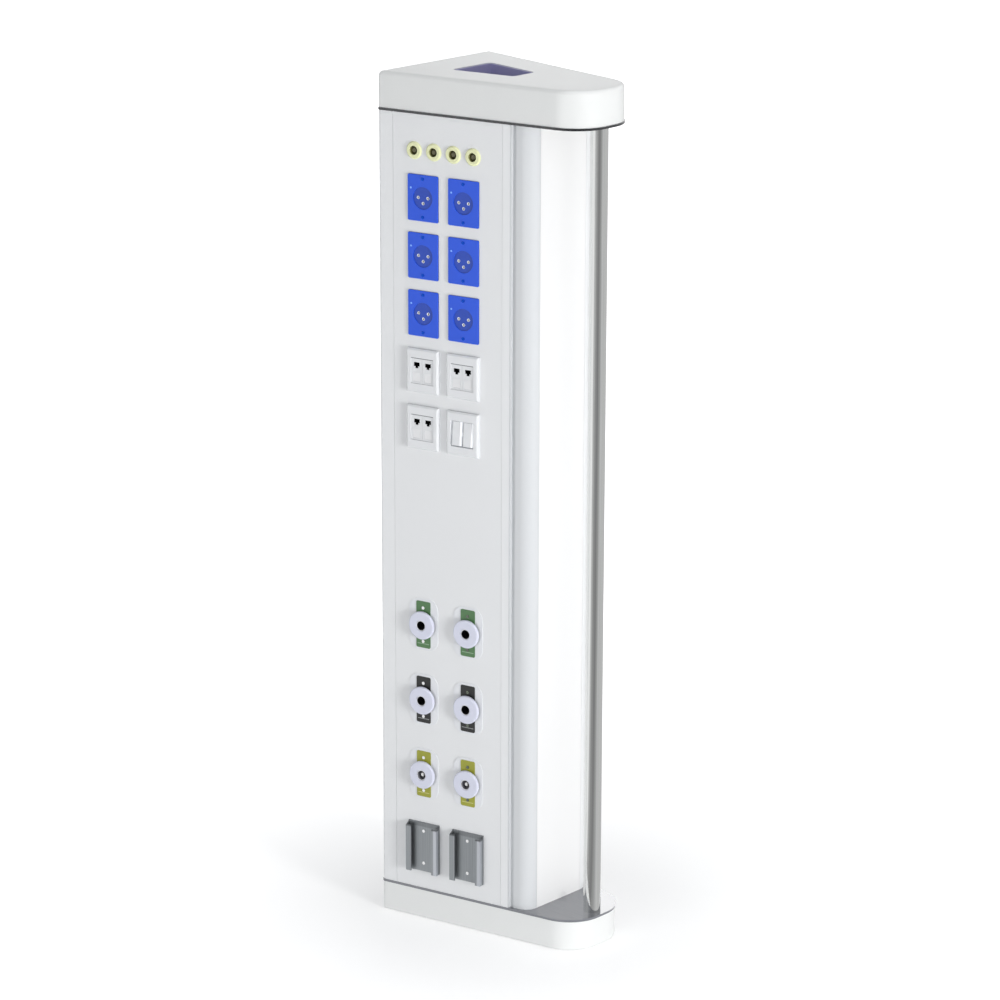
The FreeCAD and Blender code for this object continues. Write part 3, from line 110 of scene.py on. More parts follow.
def object_place(tree):
    """Where a point lies in the part's own frame, in metres."""
    return put(tree, "ShaderNodeTexCoord").outputs["Object"]


def grain(tree, size, detail=2.0, stretch=(1, 1, 1)):
    """Noise with grains of this size in metres, drawn out along the stretched axes."""
    laid = put(tree, "ShaderNodeMapping", {"Vector": object_place(tree)})
    laid.inputs["Scale"].default_value = [1 / length for length in stretch]
    inputs = {"Vector": laid.outputs[0], "Scale": 1 / size, "Detail": detail, "Roughness": 0.55}
    return put(tree, "ShaderNodeTexNoise", inputs).outputs[0]


def spread(tree, source, low, high, start=0.3, end=0.7):
    """Maps a pattern or a length, from its start to its end, onto a low and a high value."""
    inputs = {"Value": source, "From Min": start, "From Max": end, "To Min": low, "To Max": high}
    return put(tree, "ShaderNodeMapRange", inputs).outputs[0]


def blended(tree, share, first, second):
    """Two colours mixed by a 0 to 1 share."""
    return put(tree, "ShaderNodeMix", {0: share, 6: first, 7: second}, data_type="RGBA").outputs[2]


def darker(colour, share):
    """The same colour with only this share of its light."""
    return tuple(value * share for value in colour[:3]) + (1,)


def relief(tree, height, depth, under=None):
    """Bump of a given depth in metres, laid over another normal."""
    inputs = {"Height": height, "Distance": depth, "Strength": 1.0}
    if under is not None:
        inputs["Normal"] = under
    return put(tree, "ShaderNodeBump", inputs).outputs[0]


def eased_edges(tree, radius):
    """Edges that catch the light as if they were broken by hand."""
    return put(tree, "ShaderNodeBevel", {"Radius": radius}, samples=4).outputs[0]


def surfaced(tree, output, tint, rough, normal, more):
    """Closes a material with one shader; more holds its other inputs by name."""
    inputs = {"Base Color": tint, "Roughness": rough, "Normal": normal}
    skin = put(tree, "ShaderNodeBsdfPrincipled", {**inputs, **more})
    tree.links.new(skin.outputs[0], output.inputs["Surface"])
    return skin


def coated(name, colour, rough, peel=PEEL_SIZE, depth=0.00003, cloud=0.015, edge=0.0, coat=0.0):
    """A coated or moulded surface: clouded colour, uneven gloss and a fine peel or spark grain."""
    material, tree, output = new_material(name)
    clouds = spread(tree, grain(tree, CLOUD_SIZE, 1.0), 0.0, 1.0, *SOFT_RANGE)
    tint = blended(tree, clouds, darker(colour, 1 - cloud), colour)
    smooth, dull = [rough * swing for swing in GLOSS_SWING]
    gloss = spread(tree, grain(tree, GLOSS_PATCH, 1.0), smooth, dull, *SOFT_RANGE)
    under = eased_edges(tree, edge) if edge else None
    normal = relief(tree, grain(tree, peel), depth, under)
    skin = surfaced(tree, output, tint, gloss, normal, {"Coat Weight": coat, "Coat Roughness": COAT_GLOSS})
    return material, tree, skin


def finish(material, *names):
    """Gives CAD pieces their finish."""
    for name in names:
        for slot in NODES[name].material_slots:
            slot.material = material


finish(coated("cap_lacquer", CAP_LACQUER, CAP_GLOSS)[0], "top_cap")
# Painted light: the base cap's lacquer is a lighter copy of the top cap's.
finish(coated("base_lacquer_painted_light", BASE_LACQUER_PAINTED_LIGHT, CAP_GLOSS)[0], "base_cap")


# End plates: 4 mm steel plates in dark satin lacquer between the caps and the body. The profiles' screw
# ports, the caps' bosses and the pole are screwed to them; their edges show as two dark seams. The lower
# plate is painted a lighter grey, without metal, as a painted reflection of the white walls.
PLATE_UPPER = (0.030, 0.031, 0.036, 1)
PLATE_LOWER_PAINTED_SHEEN = (0.185, 0.193, 0.215, 1)
ROLL_GRAIN = 0.0012
ROLL_STRETCH = (1, 40, 1)
ROLL_SHADE = 0.9
ROLL_POLISH = (0.10, 0.16)
ROLL_DEPTH = 0.000001


def plate_finish(name, colour, metal, gloss):
    """Rolled steel under a thin lacquer."""
    material, tree, output = new_material(name)
    rolled = grain(tree, ROLL_GRAIN, stretch=ROLL_STRETCH)
    tint = blended(tree, spread(tree, rolled, 0.0, 1.0), darker(colour, ROLL_SHADE), colour)
    surfaced(tree, output, tint, spread(tree, rolled, *ROLL_POLISH), relief(tree, rolled, ROLL_DEPTH),
             {"Metallic": metal, "Coat Weight": 1.0, "Coat Roughness": gloss})
    return material


finish(plate_finish("plate_upper", PLATE_UPPER, metal=0.45, gloss=0.08), "top_plate")
# Painted reflection: the lower plate's lighter grey.
finish(plate_finish("plate_lower_painted_sheen", PLATE_LOWER_PAINTED_SHEEN, metal=0.0, gloss=0.03), "base_plate")


# Throat of the top cap: a moulded lining in grained plastic, clipped into the cap's mouth and standing
# on the top plate, where the suspension arm is bolted on. Its blue-violet colour is painted shade of the deep
# mouth.
LINING_PAINTED_SHADE = (0.56, 0.54, 0.84, 1)

# Painted shade: the lining's blue-violet colour.
lining = coated("throat_lining_painted_shade", LINING_PAINTED_SHADE, rough=0.42, peel=0.0011, depth=0.00008, cloud=0.12)[0]
finish(lining, "cap_throat")


# Outer skins: rear corner profiles, rounded front profiles, the rear panel, the blank panel and the wall
# behind the pole. Extruded and folded aluminium, powder coated white; the panels sit on tongues behind the
# profiles' edges.
POWDER_WHITE = (0.780, 0.790, 0.800, 1)
RECESS_WHITE = (0.79, 0.79, 0.79, 1)
POWDER_PEEL = 0.00004

powder = coated("powder_white", POWDER_WHITE, rough=0.38, depth=POWDER_PEEL)[0]
finish(powder, "rear_corner_left", "rear_corner_right", "front_corner_right", "rear_panel", "blank_panel")
finish(coated("powder_recess", RECESS_WHITE, rough=0.42, depth=POWDER_PEEL)[0], "front_wall")

# The left front profile's rounded edge is painted a shade darker and cooler than its flat flange, as painted
# shade, and painted shadow lies in the groove.
ROUND_PAINTED_SHADE = (0.605, 0.620, 0.635, 1)
GROOVE_PAINTED_SHADOW = (0.555, 0.570, 0.585, 1)
FLANGE_END = -0.0580
GROOVE_SHADOW_DEEP = FLANGE_END - 0.0087
GROOVE_SHADOW_RIM = FLANGE_END - 0.0047
FLANGE_EASE = 0.002

front_powder, tree, skin = coated("powder_front_painted_shade", POWDER_WHITE, rough=0.38, depth=POWDER_PEEL)
forward = put(tree, "ShaderNodeSeparateXYZ", {0: object_place(tree)}).outputs["Y"]
flange = skin.inputs["Base Color"].links[0].from_socket
# Painted shade on the rounded edge, deepening to painted shadow in the groove beside the flange.
rounded = blended(tree, spread(tree, forward, 0.0, 1.0, GROOVE_SHADOW_DEEP, GROOVE_SHADOW_RIM), ROUND_PAINTED_SHADE, GROOVE_PAINTED_SHADOW)
flat = spread(tree, forward, 0.0, 1.0, FLANGE_END - FLANGE_EASE, FLANGE_END)
tree.links.new(blended(tree, flat, rounded, flange), skin.inputs["Base Color"])
finish(front_powder, "front_corner_left")


# Service panel: one punched aluminium sheet that carries all fittings. It has the same powder coat, a
# shade darker, and its edges sit on tongues behind the profiles.
SERVICE_WHITE = (0.765, 0.775, 0.785, 1)

finish(coated("powder_service", SERVICE_WHITE, rough=0.36, depth=POWDER_PEEL)[0], "service_panel")


# Hand pole: polished stainless tube, 30 mm, between the end plates in front of the recess. Its closed ends
# take one bolt each, and fine draw lines run along it.
STEEL_DARK = (0.70, 0.71, 0.71, 1)
STEEL_BRIGHT = (0.80, 0.81, 0.80, 1)
DRAW_GRAIN = 0.0009
DRAW_STRETCH = (1, 1, 300)
DRAW_POLISH = (0.07, 0.13)
DRAW_DEPTH = 0.000002

pole_steel, tree, output = new_material("pole_steel")
drawn = grain(tree, DRAW_GRAIN, stretch=DRAW_STRETCH)
tint = blended(tree, spread(tree, drawn, 0.0, 1.0), STEEL_DARK, STEEL_BRIGHT)
polish = spread(tree, drawn, *DRAW_POLISH)
surfaced(tree, output, tint, polish, relief(tree, drawn, DRAW_DEPTH), {"Metallic": 1.0})
finish(pole_steel, "hand_pole")


# Inside: the galvanised partition between the two halves, the grey wall boxes behind the sockets, the
# turned brass valve blocks behind the outlets, and the zinc-plated screws of the end plates.
SPANGLES_PER_METRE = 60.0
SPANGLE_DARK = (0.48, 0.50, 0.52, 1)
SPANGLE_BRIGHT = (0.66, 0.68, 0.70, 1)
SPANGLE_GLOSS = (0.35, 0.55)
SPANGLE_GRAIN = 0.004
SPANGLE_DEPTH = 0.00002
BOX_GREY = (0.46, 0.47, 0.48, 1)
BRASS = (0.70, 0.52, 0.26, 1)
ZINC_PLATE = (0.66, 0.68, 0.70, 1)
TURNING_MARKS = 0.0007
TURNING_SHADE = 0.88
TURNING_SWING = (0.8, 1.25)
TURNING_DEPTH = 0.000008

zinc, tree, output = new_material("galvanised_sheet")
inputs = {"Vector": object_place(tree), "Scale": SPANGLES_PER_METRE}
spangle = put(tree, "ShaderNodeTexVoronoi", inputs).outputs["Color"]
tone = put(tree, "ShaderNodeSeparateColor", {0: spangle}).outputs[0]
tint = blended(tree, tone, SPANGLE_DARK, SPANGLE_BRIGHT)
gloss = spread(tree, tone, *SPANGLE_GLOSS, 0.0, 1.0)
normal = relief(tree, grain(tree, SPANGLE_GRAIN), SPANGLE_DEPTH)
surfaced(tree, output, tint, gloss, normal, {"Metallic": 0.9})
finish(zinc, "divider")
finish(coated("box_grey", BOX_GREY, rough=0.55, peel=0.0009, depth=0.00006)[0], "wall_boxes")


def turned_metal(name, colour, rough):
    """Machined or plated metal with fine uneven polish."""
    material, tree, output = new_material(name)
    wear = grain(tree, TURNING_MARKS, 3.0)
    tint = blended(tree, spread(tree, wear, 0.0, 1.0), darker(colour, TURNING_SHADE), colour)
    polish = spread(tree, wear, *[rough * swing for swing in TURNING_SWING])
    skin = surfaced(tree, output, tint, polish, relief(tree, wear, TURNING_DEPTH), {"Metallic": 1.0})
    return material, tree, skin


finish(turned_metal("turned_brass", BRASS, rough=0.30)[0], "valve_blocks")
finish(turned_metal("zinc_plated", ZINC_PLATE, rough=0.32)[0], "frame_screws")


# Bonding sockets: four round sockets in pale yellow plastic above the mains sockets, each with a plated
# pin. They are pushed through the panel from outside; the mouth around the pin lies in shadow.
TAPER = math.radians(10.5)
ALONG = Vector((math.sin(TAPER), -math.cos(TAPER), 0))
OUT = Vector((-math.cos(TAPER), -math.sin(TAPER), 0))
SKIN_CORNER = Vector((-0.138196, 0.196, 0))
SOCKET_MID = 0.1303
BONDING_PITCH = 0.0384
BONDING_MOUTH = 0.0076
MOUTH_FIT = 0.0001
MOUTH_RIM = 0.0026
BONDING_YELLOW = (0.77, 0.79, 0.47, 1)
MOUTH_SHADE = (0.34, 0.33, 0.14, 1)


def reckon(tree, operation, first, second=0.0, third=0.0):
    """One sum on numbers or node outputs."""
    return put(tree, "ShaderNodeMath", {0: first, 1: second, 2: third}, operation=operation).outputs[0]


def side_axes(tree):
    """Run along the service side, distance out from its skin, and height, all in metres."""
    place = object_place(tree)
    away = put(tree, "ShaderNodeVectorMath", {0: place, 1: SKIN_CORNER}, operation="SUBTRACT").outputs[0]
    run = put(tree, "ShaderNodeVectorMath", {0: away, 1: ALONG}, operation="DOT_PRODUCT").outputs["Value"]
    out = put(tree, "ShaderNodeVectorMath", {0: away, 1: OUT}, operation="DOT_PRODUCT").outputs["Value"]
    height = put(tree, "ShaderNodeSeparateXYZ", {0: place}).outputs["Z"]
    return run, out, height


def folded(tree, value, middle, pitch):
    """Distance from the nearest of a row of points with an even pitch."""
    shifted = reckon(tree, "SUBTRACT", value, middle - pitch / 2)
    return reckon(tree, "SUBTRACT", reckon(tree, "FLOORED_MODULO", shifted, pitch), pitch / 2)


def radius_from(tree, across, up):
    """Distance from an axis that stands square to the side."""
    squares = reckon(tree, "ADD", reckon(tree, "MULTIPLY", across, across), reckon(tree, "MULTIPLY", up, up))
    return reckon(tree, "SQRT", squares)


def both_hold(tree, first, second):
    """1 where two shares are 1."""
    return reckon(tree, "MULTIPLY", first, second)


def recolour(tree, skin, share, colour):
    """Lays another colour over a finish where the share is 1."""
    socket = skin.inputs["Base Color"]
    below = socket.links[0].from_socket
    tree.links.new(blended(tree, share, below, colour), socket)


PLACES = {mount["name"]: Vector(mount["pos_m"]) for mount in frame["record"]["mounts"]}
BONDING_HEIGHT = PLACES["bonding_pin_1"].z

bonding, tree, skin = coated("bonding_plastic", BONDING_YELLOW, rough=0.34, peel=0.0009, depth=0.00002,
                             coat=0.3)
run, out, height = side_axes(tree)
across = folded(tree, run, SOCKET_MID + BONDING_PITCH / 2, BONDING_PITCH)
from_axis = radius_from(tree, across, reckon(tree, "SUBTRACT", height, BONDING_HEIGHT))
inside = both_hold(tree, reckon(tree, "LESS_THAN", from_axis, BONDING_MOUTH + MOUTH_FIT),
                   reckon(tree, "LESS_THAN", out, MOUTH_RIM))
recolour(tree, skin, inside, MOUTH_SHADE)
finish(bonding, "bonding_sockets")


# Mains sockets: six blue moulded fronts, each one piece with its contact block, held by two screws. The
# face has a fine spark grain. Three plated sleeves, painted near-white as a painted glint, stand in the dish,
# which is painted in shade like the plate's low sides; a small lamp stands beside it.
SOCKET_BLUE = (0.008, 0.086, 0.720, 1)
DISH_SHADE = (0.008, 0.022, 0.120, 1)
DISH_FLOOR = 0.0006
DISH_RIM = 0.0017
SLEEVE_PAINTED_GLINT = (0.97, 0.98, 1.0, 1)
PIN_SHADE = (0.12, 0.11, 0.05, 1)
PIN_REACH = 0.012
LAMP_BLUE = (0.24, 0.46, 0.95, 1)
LAMP_GLOW = (0.26, 0.50, 1.0, 1)

socket_blue, tree, skin = coated("socket_blue", SOCKET_BLUE, rough=0.38, peel=0.0010, depth=0.00003,
                                 cloud=0.10, edge=0.0007)
run, out, height = side_axes(tree)
# Painted shade: the dish and the plate's low sides turn dark blue.
recolour(tree, skin, spread(tree, out, 1.0, 0.0, DISH_FLOOR, DISH_RIM), DISH_SHADE)
for number in range(1, 7):
    finish(socket_blue, "socket_plate_%d" % number)

contact, tree, skin = turned_metal("contact_nickel_painted_glint", SLEEVE_PAINTED_GLINT, rough=0.42)
# Painted glint: the sleeves are near-white and not metal.
skin.inputs["Metallic"].default_value = 0.0
run, out, height = side_axes(tree)
recolour(tree, skin, reckon(tree, "GREATER_THAN", height, BONDING_HEIGHT - PIN_REACH), PIN_SHADE)
finish(contact, "contact_pins")

lamp_lens, tree, skin = coated("lamp_lens", LAMP_BLUE, rough=0.12, peel=0.0008, depth=0.00001)
skin.inputs["Transmission Weight"].default_value = 0.2
skin.inputs["Emission Color"].default_value = LAMP_GLOW
skin.inputs["Emission Strength"].default_value = 0.2
finish(lamp_lens, "socket_lamps")


# Data frames and jack modules: glossy white frames clipped to the wall boxes, each with two jack modules.
# Everything behind the module faces is painted black as painted shade, so the ports are dark inside, and a
# painted shadow line runs along each module's top edge; a clear white card lies in each label field.
FRAME_WHITE = (0.750, 0.762, 0.780, 1)
JACK_WHITE = (0.740, 0.752, 0.768, 1)
CARD_WHITE = (0.770, 0.775, 0.785, 1)
PORT_PAINTED_SHADE = (0.006, 0.006, 0.007, 1)
MODULE_TOP_PAINTED_SHADOW = (0.20, 0.21, 0.22, 1)
CONTACT_GOLD = (0.82, 0.58, 0.22, 1)
MODULE_FACE = 0.0055
FACE_WALL = 0.0011
PORT_RISE = 0.011
LABEL_DROP = 0.01125
MODULE_TOP = 0.0208
SOCKET_ROWS = 3
ROW_PITCH = 0.099
BODY_FOOT = 0.057
BODY_HEIGHT = 1.3775
FIRST_ROW_DROP = 0.141
PORT_ROW = BODY_FOOT + BODY_HEIGHT - FIRST_ROW_DROP - SOCKET_ROWS * ROW_PITCH


def glossy_moulding(name, edge=0.0008):
    """The frames' glossy white plastic."""
    return coated(name, FRAME_WHITE, rough=0.20, peel=0.0012, depth=0.00001, edge=edge, coat=0.3)


gloss_white = glossy_moulding("gloss_white")[0]
jack_white, tree, skin = coated("jack_white", JACK_WHITE, rough=0.26, peel=0.0010, depth=0.00001, edge=0.0005)
run, out, height = side_axes(tree)
# Painted shade: black inside the ports, behind the module faces.
recolour(tree, skin, reckon(tree, "LESS_THAN", out, MODULE_FACE - FACE_WALL), PORT_PAINTED_SHADE)
# Painted shadow: a dark line along each module's top edge, under the frame's window.
up = folded(tree, height, PORT_ROW, ROW_PITCH)
recolour(tree, skin, reckon(tree, "GREATER_THAN", up, MODULE_TOP), MODULE_TOP_PAINTED_SHADOW)
for number in range(1, 4):
    finish(gloss_white, "data_frame_%d" % number)
    finish(jack_white, "jack_modules_%d" % number)

gold = turned_metal("contact_gold", CONTACT_GOLD, rough=0.25)[0]
card_white = coated("card_white", CARD_WHITE, rough=0.60, peel=0.0006, depth=0.00002)[0]


def new_tree(name, sizes):
    """An empty Geometry Nodes tree with a geometry input and named lengths or counts."""
    tree = bpy.data.node_groups.new(name, "GeometryNodeTree")
    tree.interface.new_socket("Geometry", in_out="INPUT", socket_type="NodeSocketGeometry")
    for label, value in sizes.items():
        kind = "NodeSocketInt" if isinstance(value, int) else "NodeSocketFloat"
        tree.interface.new_socket(label, in_out="INPUT", socket_type=kind).default_value = value
    tree.interface.new_socket("Geometry", in_out="OUTPUT", socket_type="NodeSocketGeometry")
    return tree, put(tree, "NodeGroupInput"), put(tree, "NodeGroupOutput")


def grown(name, points, tree, sizes, body):
    """Runs a tree on a set of points and keeps the result as a plain mesh that rides on a body."""
    seed_mesh = bpy.data.meshes.new(name + "_places")
    seed_mesh.from_pydata(points, [], [])
    seed = bpy.data.objects.new(name + "_places", seed_mesh)
    scene.collection.objects.link(seed)
    modifier = seed.modifiers.new("grow", "NODES")
    modifier.node_group = tree
    for item in tree.interface.items_tree:
        if item.in_out == "INPUT" and item.name in sizes:
            modifier[item.identifier] = sizes[item.name]
    shaped = seed.evaluated_get(bpy.context.evaluated_depsgraph_get())
    mesh = bpy.data.meshes.new_from_object(shaped)
    seed.modifiers.clear()
    bpy.data.objects.remove(seed)
    piece = bpy.data.objects.new(name, mesh)
    scene.collection.objects.link(piece)
    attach(piece, body)


def set_out(tree, given, made, shape, material):
    """Turns a shape's x along the service side and its y inwards, and sets one on each point."""
    turned = put(tree, "GeometryNodeTransform", {"Geometry": shape})
    side_frame = Matrix((ALONG, -OUT, Vector((0, 0, 1)))).transposed()
    turned.inputs["Rotation"].default_value = side_frame.to_euler()
    inputs = {"Points": given.outputs[0], "Instance": turned.outputs[0]}
    placed = put(tree, "GeometryNodeInstanceOnPoints", inputs)
    solid = put(tree, "GeometryNodeRealizeInstances", {0: placed.outputs[0]})
    dressed = put(tree, "GeometryNodeSetMaterial", {"Geometry": solid.outputs[0], "Material": material})
    tree.links.new(dressed.outputs[0], made.inputs[0])


# Each jack's wires: eight gold springs that lean in from the port's roof, side by side.
WIRE_SIZES = {"Wires": 8, "Pitch": 0.00102, "Wire radius": 0.00019, "Length": 0.0085, "Drop": 0.0034}
WIRE_ROOT_IN = 0.0030
WIRE_ROOT_UP = 0.0032
WIRE_BEND = 0.35

tree, given, made = new_tree("jack_wires", WIRE_SIZES)
half_row = reckon(tree, "MULTIPLY", given.outputs["Pitch"], -(WIRE_SIZES["Wires"] - 1) / 2)
row_start = put(tree, "ShaderNodeCombineXYZ", {0: half_row})
row_step = put(tree, "ShaderNodeCombineXYZ", {0: given.outputs["Pitch"]})
inputs = {"Start Location": row_start.outputs[0], "Offset": row_step.outputs[0]}
row = put(tree, "GeometryNodeMeshLine", {"Count": given.outputs["Wires"], **inputs})
tip = put(tree, "ShaderNodeCombineXYZ", {1: given.outputs["Length"],
                                         2: reckon(tree, "MULTIPLY", given.outputs["Drop"], -1.0)})
bend = put(tree, "ShaderNodeCombineXYZ", {1: reckon(tree, "MULTIPLY", given.outputs["Length"], WIRE_BEND)})
spring = put(tree, "GeometryNodeCurveQuadraticBezier", {"Resolution": 6, "Middle": bend.outputs[0],
                                                        "End": tip.outputs[0]})
spring.inputs["Start"].default_value = (0, 0, 0)
rim = put(tree, "GeometryNodeCurvePrimitiveCircle", {"Resolution": 6, "Radius": given.outputs["Wire radius"]})
wire = put(tree, "GeometryNodeCurveToMesh", {"Curve": spring.outputs[0], "Profile Curve": rim.outputs[0],
                                             "Fill Caps": True})
comb = put(tree, "GeometryNodeInstanceOnPoints", {"Points": row.outputs[0], "Instance": wire.outputs[0]})
set_out(tree, given, made, comb.outputs[0], gold)

ports = [place for name, place in PLACES.items() if name.startswith("data_jack")]
wire_roots = [port - OUT * WIRE_ROOT_IN + Vector((0, 0, WIRE_ROOT_UP)) for port in ports]
grown("jack_wires", wire_roots, tree, WIRE_SIZES, "column")

# Label cards: one small card in each label field, a hair thinner than the field is deep.
CARD_SIZES = {"Width": 0.0146, "Height": 0.0156, "Thickness": 0.0005}
CARD_IN = 0.00052

tree, given, made = new_tree("label_cards", CARD_SIZES)
card_size = put(tree, "ShaderNodeCombineXYZ", {0: given.outputs["Width"], 1: given.outputs["Thickness"],
                                               2: given.outputs["Height"]})
card = put(tree, "GeometryNodeMeshCube", {"Size": card_size.outputs[0]})
set_out(tree, given, made, card.outputs[0], card_white)
fields = [port - OUT * CARD_IN - Vector((0, 0, PORT_RISE + LABEL_DROP)) for port in ports]
grown("label_cards", fields, tree, CARD_SIZES, "column")


# Switch: the same glossy white on a frame with two rockers on trunnions; each rocker is a bevelled paddle.
# Painted light: the plastic glows a little, so the gaps stay pale and the bevels towards the nose are bright.
SWITCH_MID = 0.17015
SWITCH_HEIGHT = 0.8975
WINDOW_HALF = 0.0226
WINDOW_RIM = 0.0066
ROCKER_FOOT = (-0.0208, -0.0200)
ROCKER_PITCH = 0.0219
ROCKER_RISE = 0.0068
ROCKER_TILT = math.radians(5)
BEVEL_START = 0.0072
BEVEL_DROP = 0.0003
FLANK_DROP = 0.0026
GLOW_TINT = (0.93, 0.96, 1.0, 1)
GAP_GLOW = 0.11
BEVEL_GLOW = 0.36
FLANK_GLOW = 0.03


def painted_glow(tree, skin, strength):
    """Painted light: a glow on the plastic, by place."""
    tree.links.new(strength, skin.inputs["Emission Strength"])
    skin.inputs["Emission Color"].default_value = GLOW_TINT


switch_white, tree, skin = glossy_moulding("switch_white")
run, out, height = side_axes(tree)
aside = reckon(tree, "ABSOLUTE", reckon(tree, "SUBTRACT", run, SWITCH_MID))
up = reckon(tree, "SUBTRACT", height, SWITCH_HEIGHT)
window = both_hold(tree, reckon(tree, "LESS_THAN", aside, WINDOW_HALF),
                   reckon(tree, "LESS_THAN", reckon(tree, "ABSOLUTE", up), WINDOW_HALF))
window = both_hold(tree, window, reckon(tree, "LESS_THAN", out, WINDOW_RIM))
# Painted light in the window's gaps.
painted_glow(tree, skin, reckon(tree, "MULTIPLY", window, spread(tree, up, 0.0, GAP_GLOW, *ROCKER_FOOT)))
finish(switch_white, "switch_frame")

rocker_white, tree, skin = glossy_moulding("rocker_white", edge=0.0006)
run, out, height = side_axes(tree)
beside = folded(tree, run, SWITCH_MID + ROCKER_PITCH / 2, ROCKER_PITCH)
up = reckon(tree, "SUBTRACT", height, SWITCH_HEIGHT)
face = reckon(tree, "MULTIPLY_ADD", up, -math.tan(ROCKER_TILT), ROCKER_RISE)
below = reckon(tree, "SUBTRACT", face, out)
bevel = both_hold(tree, reckon(tree, "GREATER_THAN", beside, BEVEL_START),
                  reckon(tree, "GREATER_THAN", below, BEVEL_DROP))
flank = reckon(tree, "MULTIPLY", reckon(tree, "GREATER_THAN", below, FLANK_DROP), FLANK_GLOW)
# Painted highlight on the bevels towards the nose, and a faint painted glow on the flanks.
painted_glow(tree, skin, reckon(tree, "MULTIPLY_ADD", bevel, BEVEL_GLOW, flank))
finish(rocker_white, "rocker_1", "rocker_2")


# Gas outlets: moulded bases and release collars in cool white plastic, six of them in two columns. The
# bores are painted black inside as painted shade, grey in the lowest row, and the upper four poppets are
# painted dark as painted shade; the lowest two show polished ones near their mouths.
OUTLET_MID = 0.1336
OUTLET_PITCH = 0.0902
OUTLET_STEP = 0.137
OUTLET_ROWS = 3
OUTLET_TOP = BODY_FOOT + 0.4882
OUTLET_LOW = OUTLET_TOP - (OUTLET_ROWS - 1) * OUTLET_STEP
BORE_RADIUS = 0.00815
COLLAR_WHITE = (0.650, 0.668, 0.785, 1)
OUTLET_WHITE = (0.755, 0.768, 0.795, 1)
BORE_PAINTED_SHADE = (0.004, 0.004, 0.005, 1)
LOW_BORE_PAINTED_SHADE = (0.20, 0.20, 0.22, 1)
POPPET_BRIGHT = (0.80, 0.80, 0.80, 1)
POPPET_PAINTED_SHADE = (0.05, 0.05, 0.05, 1)

collar_white = coated("collar_white", COLLAR_WHITE, rough=0.24, peel=0.0010, depth=0.00001, cloud=0.02,
                      edge=0.0004, coat=0.35)[0]
base_white, tree, skin = coated("outlet_base_white", OUTLET_WHITE, rough=0.28, peel=0.0010, depth=0.00001,
                                cloud=0.02)
run, out, height = side_axes(tree)
across = folded(tree, run, OUTLET_MID + OUTLET_PITCH / 2, OUTLET_PITCH)
up = folded(tree, height, OUTLET_LOW, OUTLET_STEP)
bore = reckon(tree, "LESS_THAN", radius_from(tree, across, up), BORE_RADIUS)
# Painted shade in the bores, lighter in the lowest row.
recolour(tree, skin, bore, BORE_PAINTED_SHADE)
low_row = reckon(tree, "LESS_THAN", height, OUTLET_LOW + OUTLET_STEP / 2)
recolour(tree, skin, both_hold(tree, bore, low_row), LOW_BORE_PAINTED_SHADE)
for number in range(1, 7):
    finish(collar_white, "outlet_collar_%d" % number)
    finish(base_white, "outlet_base_%d" % number)

poppet = turned_metal("poppet_steel", POPPET_BRIGHT, rough=0.14)[0]
dark_poppet = turned_metal("poppet_painted_shade", POPPET_PAINTED_SHADE, rough=0.40)[0]
for number in range(1, 5):
    finish(dark_poppet, "outlet_poppet_%d" % number)
for number in (5, 6):
    finish(poppet, "outlet_poppet_%d" % number)


# Gas strips: one coloured strip behind each collar, its colour showing the gas, fixed by two screws. A
# thin pale rule is printed near the lower end.
RULE_DROP = 0.0345
RULE_HALF = 0.0006
RULE_REACH = 0.0115
STRIP_COLOURS = {"green": (0.080, 0.188, 0.074, 1), "black": (0.010, 0.011, 0.011, 1),
                 "yellow": (0.340, 0.345, 0.035, 1)}
RULE_COLOURS = {"green": (0.28, 0.42, 0.28, 1), "black": (0.30, 0.31, 0.31, 1),
                "yellow": (0.58, 0.58, 0.22, 1)}


def strip_finish(name, colour, rule):
    """A coloured plastic strip with the printed rule."""
    material, tree, skin = coated(name, colour, rough=0.40, peel=0.0008, depth=0.00002, cloud=0.12)
    run, out, height = side_axes(tree)
    up = folded(tree, height, OUTLET_LOW, OUTLET_STEP)
    from_rule = reckon(tree, "ABSOLUTE", reckon(tree, "ADD", up, RULE_DROP))
    across = reckon(tree, "ABSOLUTE", folded(tree, run, OUTLET_MID + OUTLET_PITCH / 2, OUTLET_PITCH))
    line = both_hold(tree, reckon(tree, "LESS_THAN", from_rule, RULE_HALF),
                     reckon(tree, "LESS_THAN", across, RULE_REACH))
    recolour(tree, skin, line, rule)
    return material


for gas, colour in STRIP_COLOURS.items():
    finish(strip_finish("strip_" + gas, colour, RULE_COLOURS[gas]), "gas_strip_" + gas)


# Slide brackets: two lengths of anodised aluminium channel, screwed through their backs. Extrusion lines
# run down them, a painted highlight lies along the front lip, and painted shade darkens the saw-cut upper
# ends.
BRACKET_RISE = 0.078
BRACKET_HALF = 0.0455
BRACKET_TOP = BODY_FOOT + BRACKET_RISE + BRACKET_HALF
BRACKET_MID = 0.1316
EXTRUSION_GRAIN = 0.0011
EXTRUSION_STRETCH = (1, 1, 120)
EXTRUSION_GLOSS = (0.32, 0.46)
EXTRUSION_DEPTH = 0.00001
BRACKET_EDGE = 0.0005
ALU_DARK = (0.235, 0.25, 0.265, 1)
ALU_BRIGHT = (0.31, 0.33, 0.345, 1)
TOP_SHADE_HEIGHTS = (BRACKET_TOP - 0.0090, BRACKET_TOP - 0.0065)
TOP_SHADE_OUT = (0.0020, 0.0035)
LIP_ACROSS = (0.0262, 0.0278)
LIP_OUT = (0.0055, 0.0075)
LIP_PAINTED_HIGHLIGHT = (0.47, 0.49, 0.53, 1)
TOP_PAINTED_SHADE = (0.05, 0.053, 0.056, 1)

